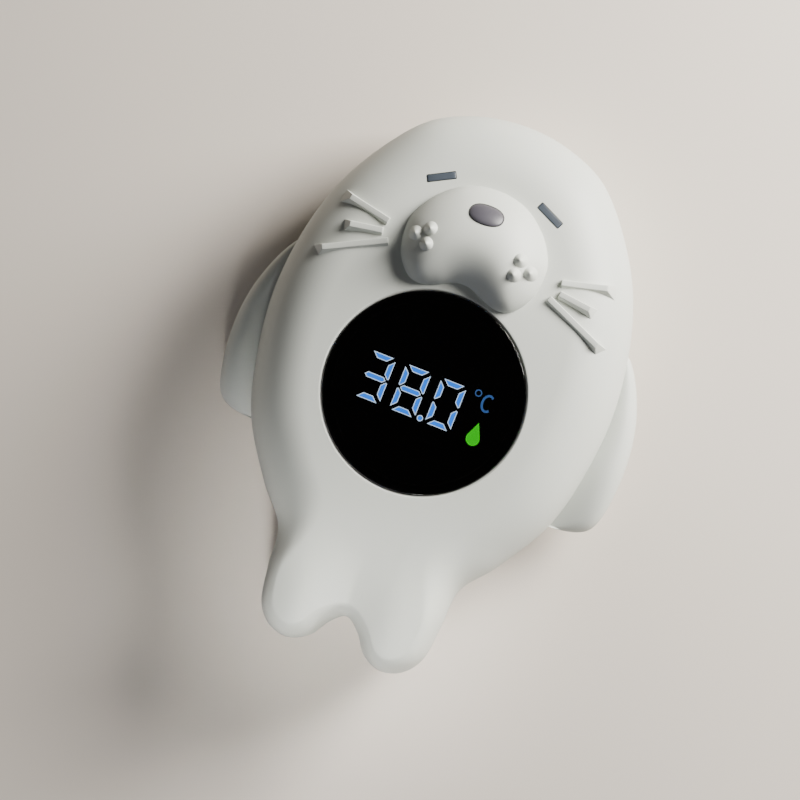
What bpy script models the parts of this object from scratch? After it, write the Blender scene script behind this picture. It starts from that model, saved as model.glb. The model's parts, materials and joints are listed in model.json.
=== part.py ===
"""Floating baby bath thermometer in the shape of a seal, lying on its back with the display up.

X runs across the body, Y from the tail to the head and Z out of the display. The origin lies below
the middle of the body, on the surface that the belly rests on. Lengths are in metres.
"""

import math

import bmesh
import bpy
import numpy as np
from mathutils import Matrix

MM = 0.001

# Body
BODY_LENGTH = 108.4 * MM
BODY_WIDTH = 69.9 * MM
HALF_LENGTH = BODY_LENGTH / 2
HALF_WIDTH = BODY_WIDTH / 2
SEAM_HEIGHT = 14.0 * MM
FACE_RISE = 9.5 * MM
FACE_DOME = 4.5 * MM
FACE_ROLL = 11.5 * MM
BELLY_ROLL = 11.0 * MM
ROLL_POWER = 2.2
WALL = 2.0 * MM
FIT = 0.3 * MM
SLIP = 0.15 * MM
EDGE_INSETS = (0.3 * MM, 0.9 * MM, 1.8 * MM, 2.9 * MM)
LINING_INSET = 2.9 * MM
CORE_RADIUS = 12.0 * MM
FACE_SHARES = (0.14, 0.34, 0.64)
BELLY_SHARES = (0.18, 0.42, 0.7)
LINING_SHARES = (0.45, 0.8, 1)

# Seam: the front shell's tongue stands inside the rear shell's lip and presses on the seal
LIP_WALL = 1.0 * MM
TONGUE_WALL = 1.2 * MM
TONGUE_LENGTH = 1.6 * MM
SEAL_THICKNESS = 0.9 * MM

# Display
LENS_CENTRE_Y = -1.0 * MM
LENS_RADIUS = 19.4 * MM
LENS_THICKNESS = 2.5 * MM
LENS_EDGE = 1.0 * MM
LENS_LEDGE = 2.3 * MM
LEDGE_THICKNESS = 1.4 * MM
COLLAR_WIDTH = 2.9 * MM
GASKET_THICKNESS = 0.5 * MM
GASKET_INSET = 0.4 * MM
DIGIT_HEIGHT = 9.4 * MM
DIGIT_WIDTH = 5.7 * MM
DIGIT_PITCH = 7.25 * MM
FIRST_DIGIT_X = -9.7 * MM
SEGMENT_WIDTH = 1.1 * MM
SEGMENT_GAP = 0.3 * MM
READOUT_Y = -0.25 * MM
READOUT_TURN = math.radians(-1.7)
POINT_X = 0.95 * MM
POINT_RADIUS = 0.6 * MM
DEGREE_X = 9.8 * MM
DEGREE_RISE = 3.65 * MM
DEGREE_RADIUS = 0.7 * MM
UNIT_X = 12.1 * MM
UNIT_RISE = 2.35 * MM
UNIT_WIDTH = 2.5 * MM
UNIT_HEIGHT = 3.8 * MM
UNIT_STROKE = 0.8 * MM
DROP_X = 11.8 * MM
DROP_TIP_DROP = 1.55 * MM
DROP_HEIGHT = 4.9 * MM
DROP_WIDTH = 2.9 * MM
FILM_THICKNESS = 0.4 * MM
REFLECTOR_LENGTH = 29.4 * MM
REFLECTOR_WIDTH = 16.0 * MM
REFLECTOR_HEIGHT = 5.4 * MM

# Main board
BOARD_RADIUS = 22.6 * MM
BOARD_THICKNESS = 1.6 * MM
LED_SIZE = 0.6 * MM
LED_HEIGHT = 0.5 * MM
CHIP_SIZE = 6.4 * MM
CHIP_HEIGHT = 0.9 * MM
CHIP_X = 17.6 * MM
POST_RADIUS = 2.1 * MM
POST_CIRCLE = 20.2 * MM
POST_ANGLES = (30, 150, 210, 330)

# Face: the muzzle stands against the display's edge, and the rest is placed on it or on the body.
# Dots are in shares of the muzzle's half width and half length, and whiskers in shares of the
# body's half width and the muzzle's half length, from the middle of the muzzle.
MUZZLE_LENGTH = 0.2 * BODY_LENGTH
MUZZLE_WIDTH = 0.403 * BODY_WIDTH
MUZZLE_Y = LENS_CENTRE_Y + LENS_RADIUS + MUZZLE_LENGTH / 2
MUZZLE_RISE = 7.0 * MM
MUZZLE_ROLL = 8.0 * MM
MUZZLE_SHARES = (0.97, 0.91, 0.82, 0.68, 0.48, 0.24, 0.08)
NOSE_Y = MUZZLE_Y + 0.252 * MUZZLE_LENGTH
NOSE_WIDTH = 6.7 * MM
NOSE_HEIGHT = 3.8 * MM
NOSE_CROWN = 0.5 * MM
EYE_X = 0.315 * HALF_WIDTH
EYE_Y = 0.717 * HALF_LENGTH
EYE_LENGTH = 5.5 * MM
EYE_WIDTH = 1.3 * MM
EYE_SLOPE = math.radians(26.5)
INSERT_THICKNESS = 1.0 * MM
INSERT_PROUD = 0.05 * MM
INSERT_SHARE = 0.55
DOT_RADIUS = 0.98 * MM
DOT_STRETCH = 1.25
DOT_SHARES = ((0.794, -0.197), (0.624, -0.041), (0.610, -0.317))
WHISKER_WIDTH = 1.4 * MM
WHISKER_INNER_STEP = 0.4 * MM
WHISKER_OUTER_STEP = 1.9 * MM
WHISKER_EDGE = 0.2 * MM
WHISKER_SHARES = (
    ((0.506, -0.151), (0.747, 0.033)),
    ((0.518, -0.345), (0.695, -0.428)),
    ((0.472, -0.493), (0.798, -0.982)),
)

# Flippers
FLIPPER_REACH = 7.3 * MM
FLIPPER_TOP_STEP = 0.4 * MM
FLIPPER_THICKNESS = 6.8 * MM
FLIPPER_HEAD_Y = 0.35 * HALF_LENGTH
FLIPPER_TAIL_Y = -0.314 * HALF_LENGTH
FLIPPER_ROOT = 0.7 * MM
FLIPPER_LIFT = 0.1 * MM
FLIPPER_SECTIONS = 14
FLIPPER_ARC_STEPS = 8
SECTION_CROWDING = 1.8
SWEEP_POWER = 0.75
TIP_POWER = 30
SIDE_POWER = 0.9

# Battery well, door and cells
CELL_RADIUS = 5.25 * MM
CELL_LENGTH = 43.7 * MM
CELL_NUB_RADIUS = 1.9 * MM
CELL_NUB_LENGTH = 0.8 * MM
WELL_GAP = 8.85 * MM
WELL_WALL = 1.5 * MM
DOOR_THICKNESS = 2.0 * MM
DOOR_LEDGE = 2.1 * MM
DOOR_RECESS = 0.3 * MM
DOOR_TAB = 6.0 * MM
DOOR_CORNER = 4.0 * MM
DOOR_SEAL_THICKNESS = 0.9 * MM
DOOR_SEAL_WIDTH = 0.9 * MM
CONTACT_THICKNESS = 0.4 * MM
CONTACT_WIDTH = 8.0 * MM
SPRING_LENGTH = 3.0 * MM
SPRING_RADIUS = 2.6 * MM
SPRING_WIRE = 0.3 * MM
SPRING_TURNS = 3
STEPS_PER_TURN = 10

# Screws
SCREW_RADIUS = 0.9 * MM
SCREW_HEAD_RADIUS = 2.0 * MM
SCREW_HEAD_HEIGHT = 1.5 * MM
SLOT_SHARE = 0.4
SHELL_SCREW_LENGTH = 11.0 * MM
SHELL_SCREW_SEAT = 8.0 * MM
BOARD_SCREW_LENGTH = 4.5 * MM
DOOR_SCREW_LENGTH = 7.0 * MM
DOOR_SEAT_SHARE = 0.8
BOSS_RADIUS = 3.8 * MM
HEAD_BOSS = (0.544 * HALF_WIDTH, 0.627 * HALF_LENGTH)
TAIL_BOSS = (0.303 * HALF_WIDTH, -0.627 * HALF_LENGTH)

# Temperature probe and water contacts: the contacts are ahead of the probe, towards the cells
PROBE_Y = -0.627 * HALF_LENGTH
PROBE_RADIUS = 2.2 * MM
PROBE_WALL = 0.4 * MM
PROBE_LENGTH = 7.0 * MM
PROBE_FLANGE = 1.3 * MM
PAD_HEIGHT = 4.4 * MM
PAD_WALL = 2.4 * MM
DISH_DEPTH = 1.2 * MM
DISH_RADIUS = 5.0 * MM
PIN_X = 4.8 * MM
PIN_Y = PROBE_Y + 4.4 * MM
PIN_RADIUS = 0.8 * MM
PIN_HEAD_RADIUS = 1.6 * MM
PIN_HEAD_HEIGHT = 0.6 * MM
PIN_LENGTH = 7.5 * MM
SEAL_RING_WIDTH = 1.1 * MM
SEAL_RING_HEIGHT = 0.8 * MM
THERMISTOR_RADIUS = 1.0 * MM

# Half of each outline, as shares of half the width and of half the length, from the head end
BODY_SHARES = (
    (0.0, 1.0), (0.294, 0.970), (0.554, 0.878), (0.805, 0.660), (0.939, 0.442), (1.0, 0.179),
    (0.974, -0.066), (0.880, -0.305), (0.688, -0.509), (0.534, -0.635), (0.506, -0.780),
    (0.475, -0.908), (0.391, -0.979), (0.271, -1.0), (0.160, -0.966), (0.087, -0.900), (0.0, -0.859),
)
MUZZLE_OUTLINE_SHARES = (
    (0.0, 1.0), (0.42, 0.89), (0.75, 0.57), (0.95, 0.18), (1.0, -0.16), (0.94, -0.6), (0.75, -0.93),
    (0.54, -1.0), (0.32, -0.91), (0.14, -0.80), (0.0, -0.77),
)
STEPS_PER_SPAN = 3
MUZZLE_STEPS = 2
FINE_STEPS = 24
DEPTH_POWER = 6

# Sides of the round pieces, by their size
TINY_SIDES = 10
PILOT_SIDES = 12
SMALL_SIDES = 14
SEAT_SIDES = 20
ROUND_SIDES = 24
BOARD_SIDES = 48
LENS_SIDES = 56
GASKET_SIDES = 36
LENS_EDGE_STEPS = 4
CORNERS = ((1, 1), (-1, 1), (-1, -1), (1, -1))
SHARP_ANGLE = math.radians(35)


def material(name, colour, roughness, metallic=0.0):
    """A plain surface, with its colour given as a six-figure sRGB code."""
    channels = [int(colour[i:i + 2], 16) / 255 for i in (0, 2, 4)]
    linear = [c / 12.92 if c <= 0.04045 else ((c + 0.055) / 1.055) ** 2.4 for c in channels]
    made = bpy.data.materials.new(name)
    made.use_nodes = True
    shader = made.node_tree.nodes["Principled BSDF"]
    shader.inputs["Base Color"].default_value = (*linear, 1)
    shader.inputs["Roughness"].default_value = roughness
    shader.inputs["Metallic"].default_value = metallic
    return made


def clear_scene():
    for obj in list(bpy.data.objects):
        bpy.data.objects.remove(obj, do_unlink=True)


def new_collection(name, hidden=False):
    made = bpy.data.collections.new(name)
    made.hide_render = hidden
    bpy.context.scene.collection.children.link(made)
    return made


clear_scene()
PARTS = new_collection("bath_thermometer")
TOOLS = new_collection("shaping_tools", hidden=True)

SHELL_PLASTIC = material("shell_plastic", "C9CBC6", 0.55)
EYE_PLASTIC = material("eye_plastic", "5F6B78", 0.45)
NOSE_PLASTIC = material("nose_plastic", "6A6570", 0.25)
LENS_PLASTIC = material("smoked_lens", "0A0708", 0.05)
SILICONE = material("silicone_seal", "B8BBB8", 0.7)
FOAM = material("black_gasket", "1B1B1C", 0.9)
BLACK_PLASTIC = material("display_housing", "141416", 0.5)
FILM = material("display_film", "5AA0E6", 0.4)
BOARD_GREEN = material("circuit_board", "1E5B3A", 0.45)
CHIP_BLACK = material("chip_resin", "1A1A1C", 0.6)
STEEL = material("stainless_steel", "B9BCBF", 0.25, 1.0)
NICKEL = material("nickel_plate", "C6C2B8", 0.3, 1.0)
CELL_JACKET = material("cell_jacket", "3E4A52", 0.4)
RESIN = material("thermistor_resin", "2A2320", 0.4)


def place(name, mesh, surface=None, smooth=True):
    """A named piece with its material, or a hidden shaping tool where no material is given."""
    obj = bpy.data.objects.new(name, mesh)
    if surface:
        mesh.materials.append(surface)
        PARTS.objects.link(obj)
    else:
        TOOLS.objects.link(obj)
        obj.hide_render = True
        obj.display_type = "WIRE"
    if smooth:
        mesh.shade_smooth()
        mesh.set_sharp_from_angle(angle=SHARP_ANGLE)
    return obj


def finish(work, name):
    """The mesh of a closed bmesh, with its faces turned outward."""
    bmesh.ops.recalc_face_normals(work, faces=work.faces)
    mesh = bpy.data.meshes.new(name)
    work.to_mesh(mesh)
    work.free()
    return mesh


def loft(name, rings, surface=None, closed=False):
    """A skin through rings of equally many points: closed on itself, or with its two ends filled."""
    work = bmesh.new()
    rows = [[work.verts.new(point) for point in ring] for ring in rings]
    count = len(rows[0])
    pairs = list(zip(rows, rows[1:]))
    if closed:
        pairs.append((rows[-1], rows[0]))
    else:
        work.faces.new(rows[0])
        work.faces.new(rows[-1])
    for near, far in pairs:
        for i in range(count):
            j = (i + 1) % count
            work.faces.new((near[i], near[j], far[j], far[i]))
    return place(name, finish(work, name), surface)


def prism(name, outline, bottom, top, surface=None):
    """A flat outline drawn up from one height to another."""
    work = bmesh.new()
    base = work.faces.new([work.verts.new((x, y, bottom)) for x, y in outline])
    drawn = bmesh.ops.extrude_face_region(work, geom=[base])
    raised = [item for item in drawn["geom"] if isinstance(item, bmesh.types.BMVert)]
    bmesh.ops.translate(work, verts=raised, vec=(0, 0, top - bottom))
    return place(name, finish(work, name), surface)


def cylinder(name, centre, radius, bottom, top, surface=None, sides=ROUND_SIDES, top_radius=None):
    work = bmesh.new()
    bmesh.ops.create_cone(
        work, cap_ends=True, segments=sides, radius1=radius,
        radius2=radius if top_radius is None else top_radius, depth=top - bottom,
        matrix=Matrix.Translation((centre[0], centre[1], (top + bottom) / 2)),
    )
    return place(name, finish(work, name), surface)


def turned(name, profile, centre, surface, steps, closed=False):
    """A profile of (radius, height) pairs, down its outer side, turned round an upright line."""
    work = bmesh.new()
    points = [work.verts.new((radius, 0, height)) for radius, height in profile]
    for near, far in zip(points, points[1:]):
        work.edges.new((near, far))
    if closed:
        work.edges.new((points[-1], points[0]))
    mesh = bpy.data.meshes.new(name)
    work.to_mesh(mesh)
    work.free()
    obj = place(name, mesh, surface, smooth=False)
    obj.location = (*centre, 0)
    spin = obj.modifiers.new("Turn", "SCREW")
    spin.steps = spin.render_steps = steps
    spin.use_merge_vertices = True
    spin.merge_threshold = 1e-6
    spin.use_smooth_shade = True
    return obj


def ring(name, centre, inner, outer, bottom, top, surface, steps):
    profile = [(inner, top), (outer, top), (outer, bottom), (inner, bottom)]
    return turned(name, profile, centre, surface, steps, closed=True)


def rounded_box(half_x, half_y, corner, centre_y=0.0, steps=4):
    """Outline of a rectangle with round corners, counter-clockwise."""
    points = []
    for quarter, (sx, sy) in enumerate(CORNERS):
        for k in range(steps + 1):
            angle = math.pi / 2 * (quarter + k / steps)
            x = sx * (half_x - corner) + corner * math.cos(angle)
            y = sy * (half_y - corner) + corner * math.sin(angle)
            points.append((x, centre_y + y))
    return points


def combine(target, operation, tools):
    """Joins hidden tools to a piece, or cuts them out of it."""
    for tool in tools:
        step = target.modifiers.new(f"{operation.title()} {tool.name}", "BOOLEAN")
        step.operation = operation
        step.solver = "EXACT"
        step.object = tool


def closed_spline(half, width, length, middle_y, steps):
    """Smooth closed outline through a half outline and its mirror image, counter-clockwise."""
    right = np.array(half) * (width / 2, length / 2) + (0, middle_y)
    left = right * (-1, 1)
    knots = np.vstack([left[:-1], right[:0:-1]])
    before, after, later = (np.roll(knots, shift, axis=0) for shift in (1, -1, -2))
    t = (np.arange(steps) / steps)[None, :, None]
    a, b, c, d = (p[:, None] for p in (before, knots, after, later))
    curve = (
        2 * b + (c - a) * t + (2 * a - 5 * b + 4 * c - d) * t**2 + (3 * b - a - 3 * c + d) * t**3
    ) / 2
    return curve.reshape(-1, 2)


def inward(outline):
    """Unit directions into a counter-clockwise outline."""
    along = np.roll(outline, -1, axis=0) - np.roll(outline, 1, axis=0)
    across = np.stack([-along[:, 1], along[:, 0]], axis=1)
    return across / np.linalg.norm(across, axis=1)[:, None]


def soft_depth(points, edge):
    """Distance from a closed edge: exact beside a straight one, and smooth where two sides meet.

    The inverse sixth power of the distance, summed along a straight edge, is three eighths of pi
    times the inverse fifth power of the distance to the edge.
    """
    step = np.linalg.norm(np.roll(edge, -1, axis=0) - np.roll(edge, 1, axis=0), axis=1) / 2
    gap = np.linalg.norm(np.asarray(points)[:, None] - edge, axis=2)
    total = np.sum(step / np.maximum(gap, step / FINE_STEPS) ** DEPTH_POWER, axis=1)
    return (total * 8 / (3 * math.pi)) ** (1 / (1 - DEPTH_POWER))


def body_spline(steps):
    return closed_spline(BODY_SHARES, BODY_WIDTH, BODY_LENGTH, 0, steps)


def muzzle_spline(steps):
    return closed_spline(MUZZLE_OUTLINE_SHARES, MUZZLE_WIDTH, MUZZLE_LENGTH, MUZZLE_Y, steps)


EDGE = body_spline(FINE_STEPS)
OUTLINE = body_spline(STEPS_PER_SPAN)
INWARD = inward(EDGE)[::FINE_STEPS // STEPS_PER_SPAN]
MUZZLE_EDGE = muzzle_spline(FINE_STEPS)
MUZZLE_RING = muzzle_spline(MUZZLE_STEPS)
LENS_CENTRE = (0, LENS_CENTRE_Y)

# Heights that the pieces share
SIDE_WALL = LIP_WALL + FIT + TONGUE_WALL
FRONT_RIM = SEAM_HEIGHT + FIT
APERTURE_RADIUS = LENS_RADIUS + FIT
LENS_SHARE = 1 - (APERTURE_RADIUS / (BODY_LENGTH / 2)) ** 2
APERTURE_TOP = FRONT_RIM + FACE_RISE + FACE_DOME * LENS_SHARE
LENS_TOP = APERTURE_TOP + SLIP
LEDGE_TOP = LENS_TOP - LENS_THICKNESS - GASKET_THICKNESS - 2 * SLIP
LEDGE_BOTTOM = LEDGE_TOP - LEDGE_THICKNESS
LEDGE_RADIUS = APERTURE_RADIUS - LENS_LEDGE
COLLAR_RADIUS = APERTURE_RADIUS + COLLAR_WIDTH
FILM_TOP = LENS_TOP - LENS_THICKNESS - FIT
REFLECTOR_TOP = FILM_TOP - FILM_THICKNESS - SLIP
BOARD_TOP = REFLECTOR_TOP - REFLECTOR_HEIGHT - SLIP
BOARD_BOTTOM = BOARD_TOP - BOARD_THICKNESS
TONGUE_END = SEAM_HEIGHT - TONGUE_LENGTH
SEAL_LEDGE = TONGUE_END - SEAL_THICKNESS - 2 * SLIP


def roll(depth, width):
    """Share of the full height that a flank has gained at a depth inside the outline."""
    left = np.clip(1 - np.asarray(depth) / width, 0, 1)
    return (1 - left**ROLL_POWER) ** (1 / ROLL_POWER)


def face_rise(points):
    away = np.linalg.norm(np.asarray(points) - LENS_CENTRE, axis=1) / (BODY_LENGTH / 2)
    return FACE_RISE + FACE_DOME * (1 - away**2)


def face_height(points):
    """Outer surface of the front shell, without muzzle and whiskers."""
    return FRONT_RIM + roll(soft_depth(points, EDGE), FACE_ROLL) * face_rise(points)


def face_lining(points):
    """Inner surface of the front shell."""
    share = roll(soft_depth(points, EDGE) - SIDE_WALL, FACE_ROLL - SIDE_WALL)
    return FRONT_RIM + share * (face_rise(points) - WALL)


def muzzle_height(points):
    depth = soft_depth(points, MUZZLE_EDGE)
    return face_height(points) + MUZZLE_RISE * roll(depth, MUZZLE_ROLL)


def belly_height(points):
    """Outer surface of the rear shell."""
    return SEAM_HEIGHT * (1 - roll(soft_depth(points, EDGE), BELLY_ROLL))


def belly_lining(points):
    """Inner surface of the rear shell."""
    share = roll(soft_depth(points, EDGE) - SIDE_WALL, BELLY_ROLL - SIDE_WALL)
    return SEAM_HEIGHT - share * (SEAM_HEIGHT - WALL)


def raised(points, heights):
    return np.column_stack([points, np.broadcast_to(heights, len(points))])


def inset(depth):
    return OUTLINE + INWARD * depth


def lens_circle(radius):
    """A circle round the display, with each point on the ray to its point of the outline."""
    rays = OUTLINE - LENS_CENTRE
    return LENS_CENTRE + radius * rays / np.linalg.norm(rays, axis=1)[:, None]


def between(outer, inner, shares):
    return [outer + (inner - outer) * share for share in shares]


def circle_points(centre, radius, sides=ROUND_SIDES):
    angles = np.arange(sides) * 2 * math.pi / sides
    return np.array(centre) + radius * np.stack([np.cos(angles), np.sin(angles)], axis=1)


def front_shell():
    """Domed cover, with a stepped opening for the lens and a tongue that enters the rear shell."""
    aperture = lens_circle(APERTURE_RADIUS)
    slopes = [inset(depth) for depth in EDGE_INSETS]
    slopes += between(inset(EDGE_INSETS[-1]), aperture, FACE_SHARES)
    chamfer = lens_circle(APERTURE_RADIUS + FIT)
    collar = lens_circle(COLLAR_RADIUS)
    lining = [collar] + between(collar, inset(LINING_INSET), LINING_SHARES)
    rings = [raised(OUTLINE, FRONT_RIM)]
    rings += [raised(points, face_height(points)) for points in slopes]
    rings += [
        raised(chamfer, face_height(chamfer)),
        raised(aperture, APERTURE_TOP - FIT),
        raised(aperture, LEDGE_TOP),
        raised(lens_circle(LEDGE_RADIUS), LEDGE_TOP),
        raised(lens_circle(LEDGE_RADIUS), LEDGE_BOTTOM),
        raised(collar, LEDGE_BOTTOM),
    ]
    rings += [raised(points, face_lining(points)) for points in lining]
    rings += [
        raised(inset(SIDE_WALL), FRONT_RIM),
        raised(inset(SIDE_WALL), TONGUE_END),
        raised(inset(LIP_WALL + FIT), TONGUE_END),
        raised(inset(LIP_WALL + FIT), FRONT_RIM),
    ]
    shell = loft("front_shell", rings, SHELL_PLASTIC, closed=True)
    joined = [muzzle()] + cheek_dots() + whiskers() + shell_bosses() + board_posts()
    combine(shell, "UNION", joined)
    floor = -INSERT_THICKNESS - SLIP
    pockets = [
        face_plug("left_eye_pocket", eye_outline(-1, SLIP), face_height, floor, WALL),
        face_plug("right_eye_pocket", eye_outline(1, SLIP), face_height, floor, WALL),
        face_plug("nose_pocket", nose_outline(SLIP), muzzle_height, floor, WALL),
    ]
    combine(shell, "DIFFERENCE", pockets + pilot_holes())


def muzzle():
    """Raised muzzle with two cheeks, sunk part way into the face so that it joins it all round."""
    middle = np.array([0, MUZZLE_Y])
    rings = [raised(MUZZLE_RING, face_height(MUZZLE_RING) - WALL / 2)]
    rings.append(raised(MUZZLE_RING, face_height(MUZZLE_RING)))
    for share in MUZZLE_SHARES:
        points = middle + (MUZZLE_RING - middle) * share
        rings.append(raised(points, muzzle_height(points)))
    return loft("muzzle", rings)


def cheek_dots():
    """Three low knobs on each cheek."""
    made = []
    for side in (-1, 1):
        for share_x, share_y in DOT_SHARES:
            x = side * share_x * MUZZLE_WIDTH / 2
            y = MUZZLE_Y + share_y * MUZZLE_LENGTH / 2
            stretch = Matrix.Diagonal((1, 1, DOT_STRETCH, 1))
            at = Matrix.Translation((x, y, muzzle_height([(x, y)])[0]))
            work = bmesh.new()
            bmesh.ops.create_uvsphere(
                work, u_segments=8, v_segments=6, radius=DOT_RADIUS, matrix=at @ stretch
            )
            made.append(place("cheek_dot", finish(work, "cheek_dot")))
    return made


def whiskers():
    """Bars with flat tops that stand up more at their outer ends, where the face falls away."""
    made = []
    for side in (-1, 1):
        for shares in WHISKER_SHARES:
            ends = np.array(shares) * (side * HALF_WIDTH, MUZZLE_LENGTH / 2) + (0, MUZZLE_Y)
            along = (ends[1] - ends[0]) / np.linalg.norm(ends[1] - ends[0])
            across = np.array([-along[1], along[0]]) * WHISKER_WIDTH / 2
            ground = face_height(ends)
            steps = (WHISKER_INNER_STEP, WHISKER_OUTER_STEP)
            sections = []
            for end, low, step in zip(ends, ground, steps):
                corners = ((1, -WALL / 2), (-1, -WALL / 2), (-1, step), (1, step))
                sections.append([(*(end + across * s), low + rise) for s, rise in corners])
            bar = loft("whisker", sections)
            edge = bar.modifiers.new("Round edges", "BEVEL")
            edge.width = WHISKER_EDGE
            edge.segments = 1
            made.append(bar)
    return made


def boss_place(spot, side):
    return (side * spot[0], spot[1])


def boss_places():
    return [boss_place(spot, side) for spot in (HEAD_BOSS, TAIL_BOSS) for side in (-1, 1)]


def post_places():
    angles = np.radians(POST_ANGLES)
    return LENS_CENTRE + POST_CIRCLE * np.stack([np.cos(angles), np.sin(angles)], axis=1)


def shell_bosses():
    """Screw bosses that hang from the middle of the front shell's wall to the seam."""
    made = []
    for centre in boss_places():
        points = circle_points(centre, BOSS_RADIUS)
        tops = (face_height(points) + face_lining(points)) / 2
        made.append(loft("shell_boss", [raised(points, FRONT_RIM), raised(points, tops)]))
    return made


def board_posts():
    """Posts that hang from the display's ledge and carry the board."""
    low, high = BOARD_TOP + SLIP, (LEDGE_TOP + LEDGE_BOTTOM) / 2
    return [cylinder("board_post", at, POST_RADIUS, low, high, sides=SMALL_SIDES) for at in post_places()]


def pilot_holes():
    """Holes for the shell screws and the board screws, closed at their ends."""
    radius = SCREW_RADIUS + FIT
    shell_end = SHELL_SCREW_SEAT + SHELL_SCREW_LENGTH + FIT
    board_end = BOARD_BOTTOM - SLIP + BOARD_SCREW_LENGTH + FIT
    made = []
    for at in boss_places():
        made.append(cylinder("shell_pilot", at, radius, SEAM_HEIGHT - FIT, shell_end, sides=PILOT_SIDES))
    for at in post_places():
        made.append(cylinder("board_pilot", at, radius, BOARD_TOP - FIT, board_end, sides=PILOT_SIDES))
    return made


def eye_outline(side, margin=0.0):
    along = np.array([math.cos(EYE_SLOPE) * side, -math.sin(EYE_SLOPE)])
    across = np.array([-along[1], along[0]])
    centre = np.array([EYE_X * side, EYE_Y])
    half_length = EYE_LENGTH / 2 + margin
    half_width = EYE_WIDTH / 2 + margin
    corners = ((1, 1), (0, 1), (-1, 1), (-1, -1), (0, -1), (1, -1))
    reach = np.array(corners) * (half_length, half_width)
    return centre + reach[:, :1] * along + reach[:, 1:] * across


def nose_outline(margin=0.0):
    half = np.array([NOSE_WIDTH, NOSE_HEIGHT]) / 2 + margin
    return np.array([0, NOSE_Y]) + circle_points((0, 0), 1) * half


def face_plug(name, outline, ground, bottom, top, surface=None, crown=0.0):
    """A flat piece that follows the surface under it, from one step off it to another."""
    middle = outline.mean(axis=0)
    heights = ground(outline)
    inner = middle + (outline - middle) * INSERT_SHARE
    inner_heights = ground(inner)
    rings = [
        raised(inner, inner_heights + bottom),
        raised(outline, heights + bottom),
        raised(outline, heights + top),
        raised(inner, inner_heights + top + crown),
    ]
    return loft(name, rings, surface)


def inserts():
    """Eyes and nose, pressed into shallow pockets in the face."""
    low, high = -INSERT_THICKNESS, INSERT_PROUD
    face_plug("left_eye", eye_outline(-1), face_height, low, high, EYE_PLASTIC)
    face_plug("right_eye", eye_outline(1), face_height, low, high, EYE_PLASTIC)
    face_plug("nose", nose_outline(), muzzle_height, low, high, NOSE_PLASTIC, NOSE_CROWN)


def rear_shell():
    """Boat-shaped half with the flippers, the battery well, the screw bosses and the sensor pads."""
    core = lens_circle(CORE_RADIUS)
    slopes = [inset(depth) for depth in EDGE_INSETS]
    slopes += between(inset(EDGE_INSETS[-1]), core, BELLY_SHARES)
    lining = between(core, inset(LINING_INSET), LINING_SHARES)
    rings = [raised(core, 0)]
    rings += [raised(points, belly_height(points)) for points in reversed(slopes)]
    rings += [
        raised(OUTLINE, SEAM_HEIGHT),
        raised(inset(LIP_WALL), SEAM_HEIGHT),
        raised(inset(LIP_WALL), SEAL_LEDGE),
        raised(inset(SIDE_WALL), SEAL_LEDGE),
    ]
    rings += [raised(points, belly_lining(points)) for points in reversed(lining)]
    rings.append(raised(core, WALL))
    shell = loft("rear_shell", rings, SHELL_PLASTIC)
    combine(shell, "UNION", [flipper(-1), flipper(1)] + battery_well() + rear_bosses() + sensor_pads())
    combine(shell, "DIFFERENCE", well_cuts() + rear_boss_cuts() + sensor_cuts())


def flipper(side):
    """Swept-back side flipper: half-round in section, flush with the flank at its head end."""
    high = SEAM_HEIGHT - FLIPPER_TOP_STEP
    right = OUTLINE[OUTLINE[:, 0] > 0]
    order = np.argsort(right[:, 1])
    sections = []
    for k in range(FLIPPER_SECTIONS):
        share = 1 - (1 - k / (FLIPPER_SECTIONS - 1)) ** SECTION_CROWDING
        y = FLIPPER_HEAD_Y + (FLIPPER_TAIL_Y - FLIPPER_HEAD_Y) * share
        flank = np.interp(y, right[order, 1], right[order, 0])
        round_end = math.sqrt(1 - share**TIP_POWER)
        sweep = math.sin(math.pi / 2 * share**SWEEP_POWER)
        reach = FLIPPER_REACH * sweep * round_end + FLIPPER_LIFT
        half = FLIPPER_THICKNESS / 4 * (1 + min(1, 2 * reach / FLIPPER_REACH))
        section = []
        for j in range(FLIPPER_ARC_STEPS + 1):
            angle = math.pi * j / FLIPPER_ARC_STEPS
            out = math.sin(angle) ** SIDE_POWER * (reach + FLIPPER_ROOT) - FLIPPER_ROOT
            section.append((side * (flank + out), y, high - half + half * math.cos(angle)))
        section.append((side * (flank - 2 * LIP_WALL), y, high - 2 * half - FIT))
        section.append((side * (flank - FLIPPER_ROOT), y, SEAL_LEDGE))
        sections.append(section)
    return loft("flipper", sections)


def well_half_width():
    return 2 * CELL_RADIUS + 2 * FIT


def well_half_length():
    ends = 2 * (CONTACT_THICKNESS + 2 * FIT)
    return (CELL_LENGTH + CELL_NUB_LENGTH + SPRING_LENGTH + ends) / 2


def well_centre_y():
    """Middle of the battery well, whose tail end keeps a gap to the water contacts."""
    return PIN_Y + WELL_GAP + well_half_length()


def door_inside():
    return DOOR_RECESS + DOOR_THICKNESS


def door_ledge_height():
    return door_inside() + DOOR_SEAL_THICKNESS + 2 * SLIP


def cell_height():
    return door_inside() + FIT + CELL_RADIUS


def well_roof():
    return cell_height() + CELL_RADIUS + FIT


def door_outline(margin=0.0):
    half_x = well_half_width() + DOOR_LEDGE + margin
    half_y = well_half_length() + DOOR_LEDGE + DOOR_TAB / 2 + margin
    return rounded_box(half_x, half_y, DOOR_CORNER, well_centre_y() + DOOR_TAB / 2)


def door_screw_place():
    return (0, well_centre_y() + well_half_length() + DOOR_LEDGE + DOOR_TAB / 2 - FIT)


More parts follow.
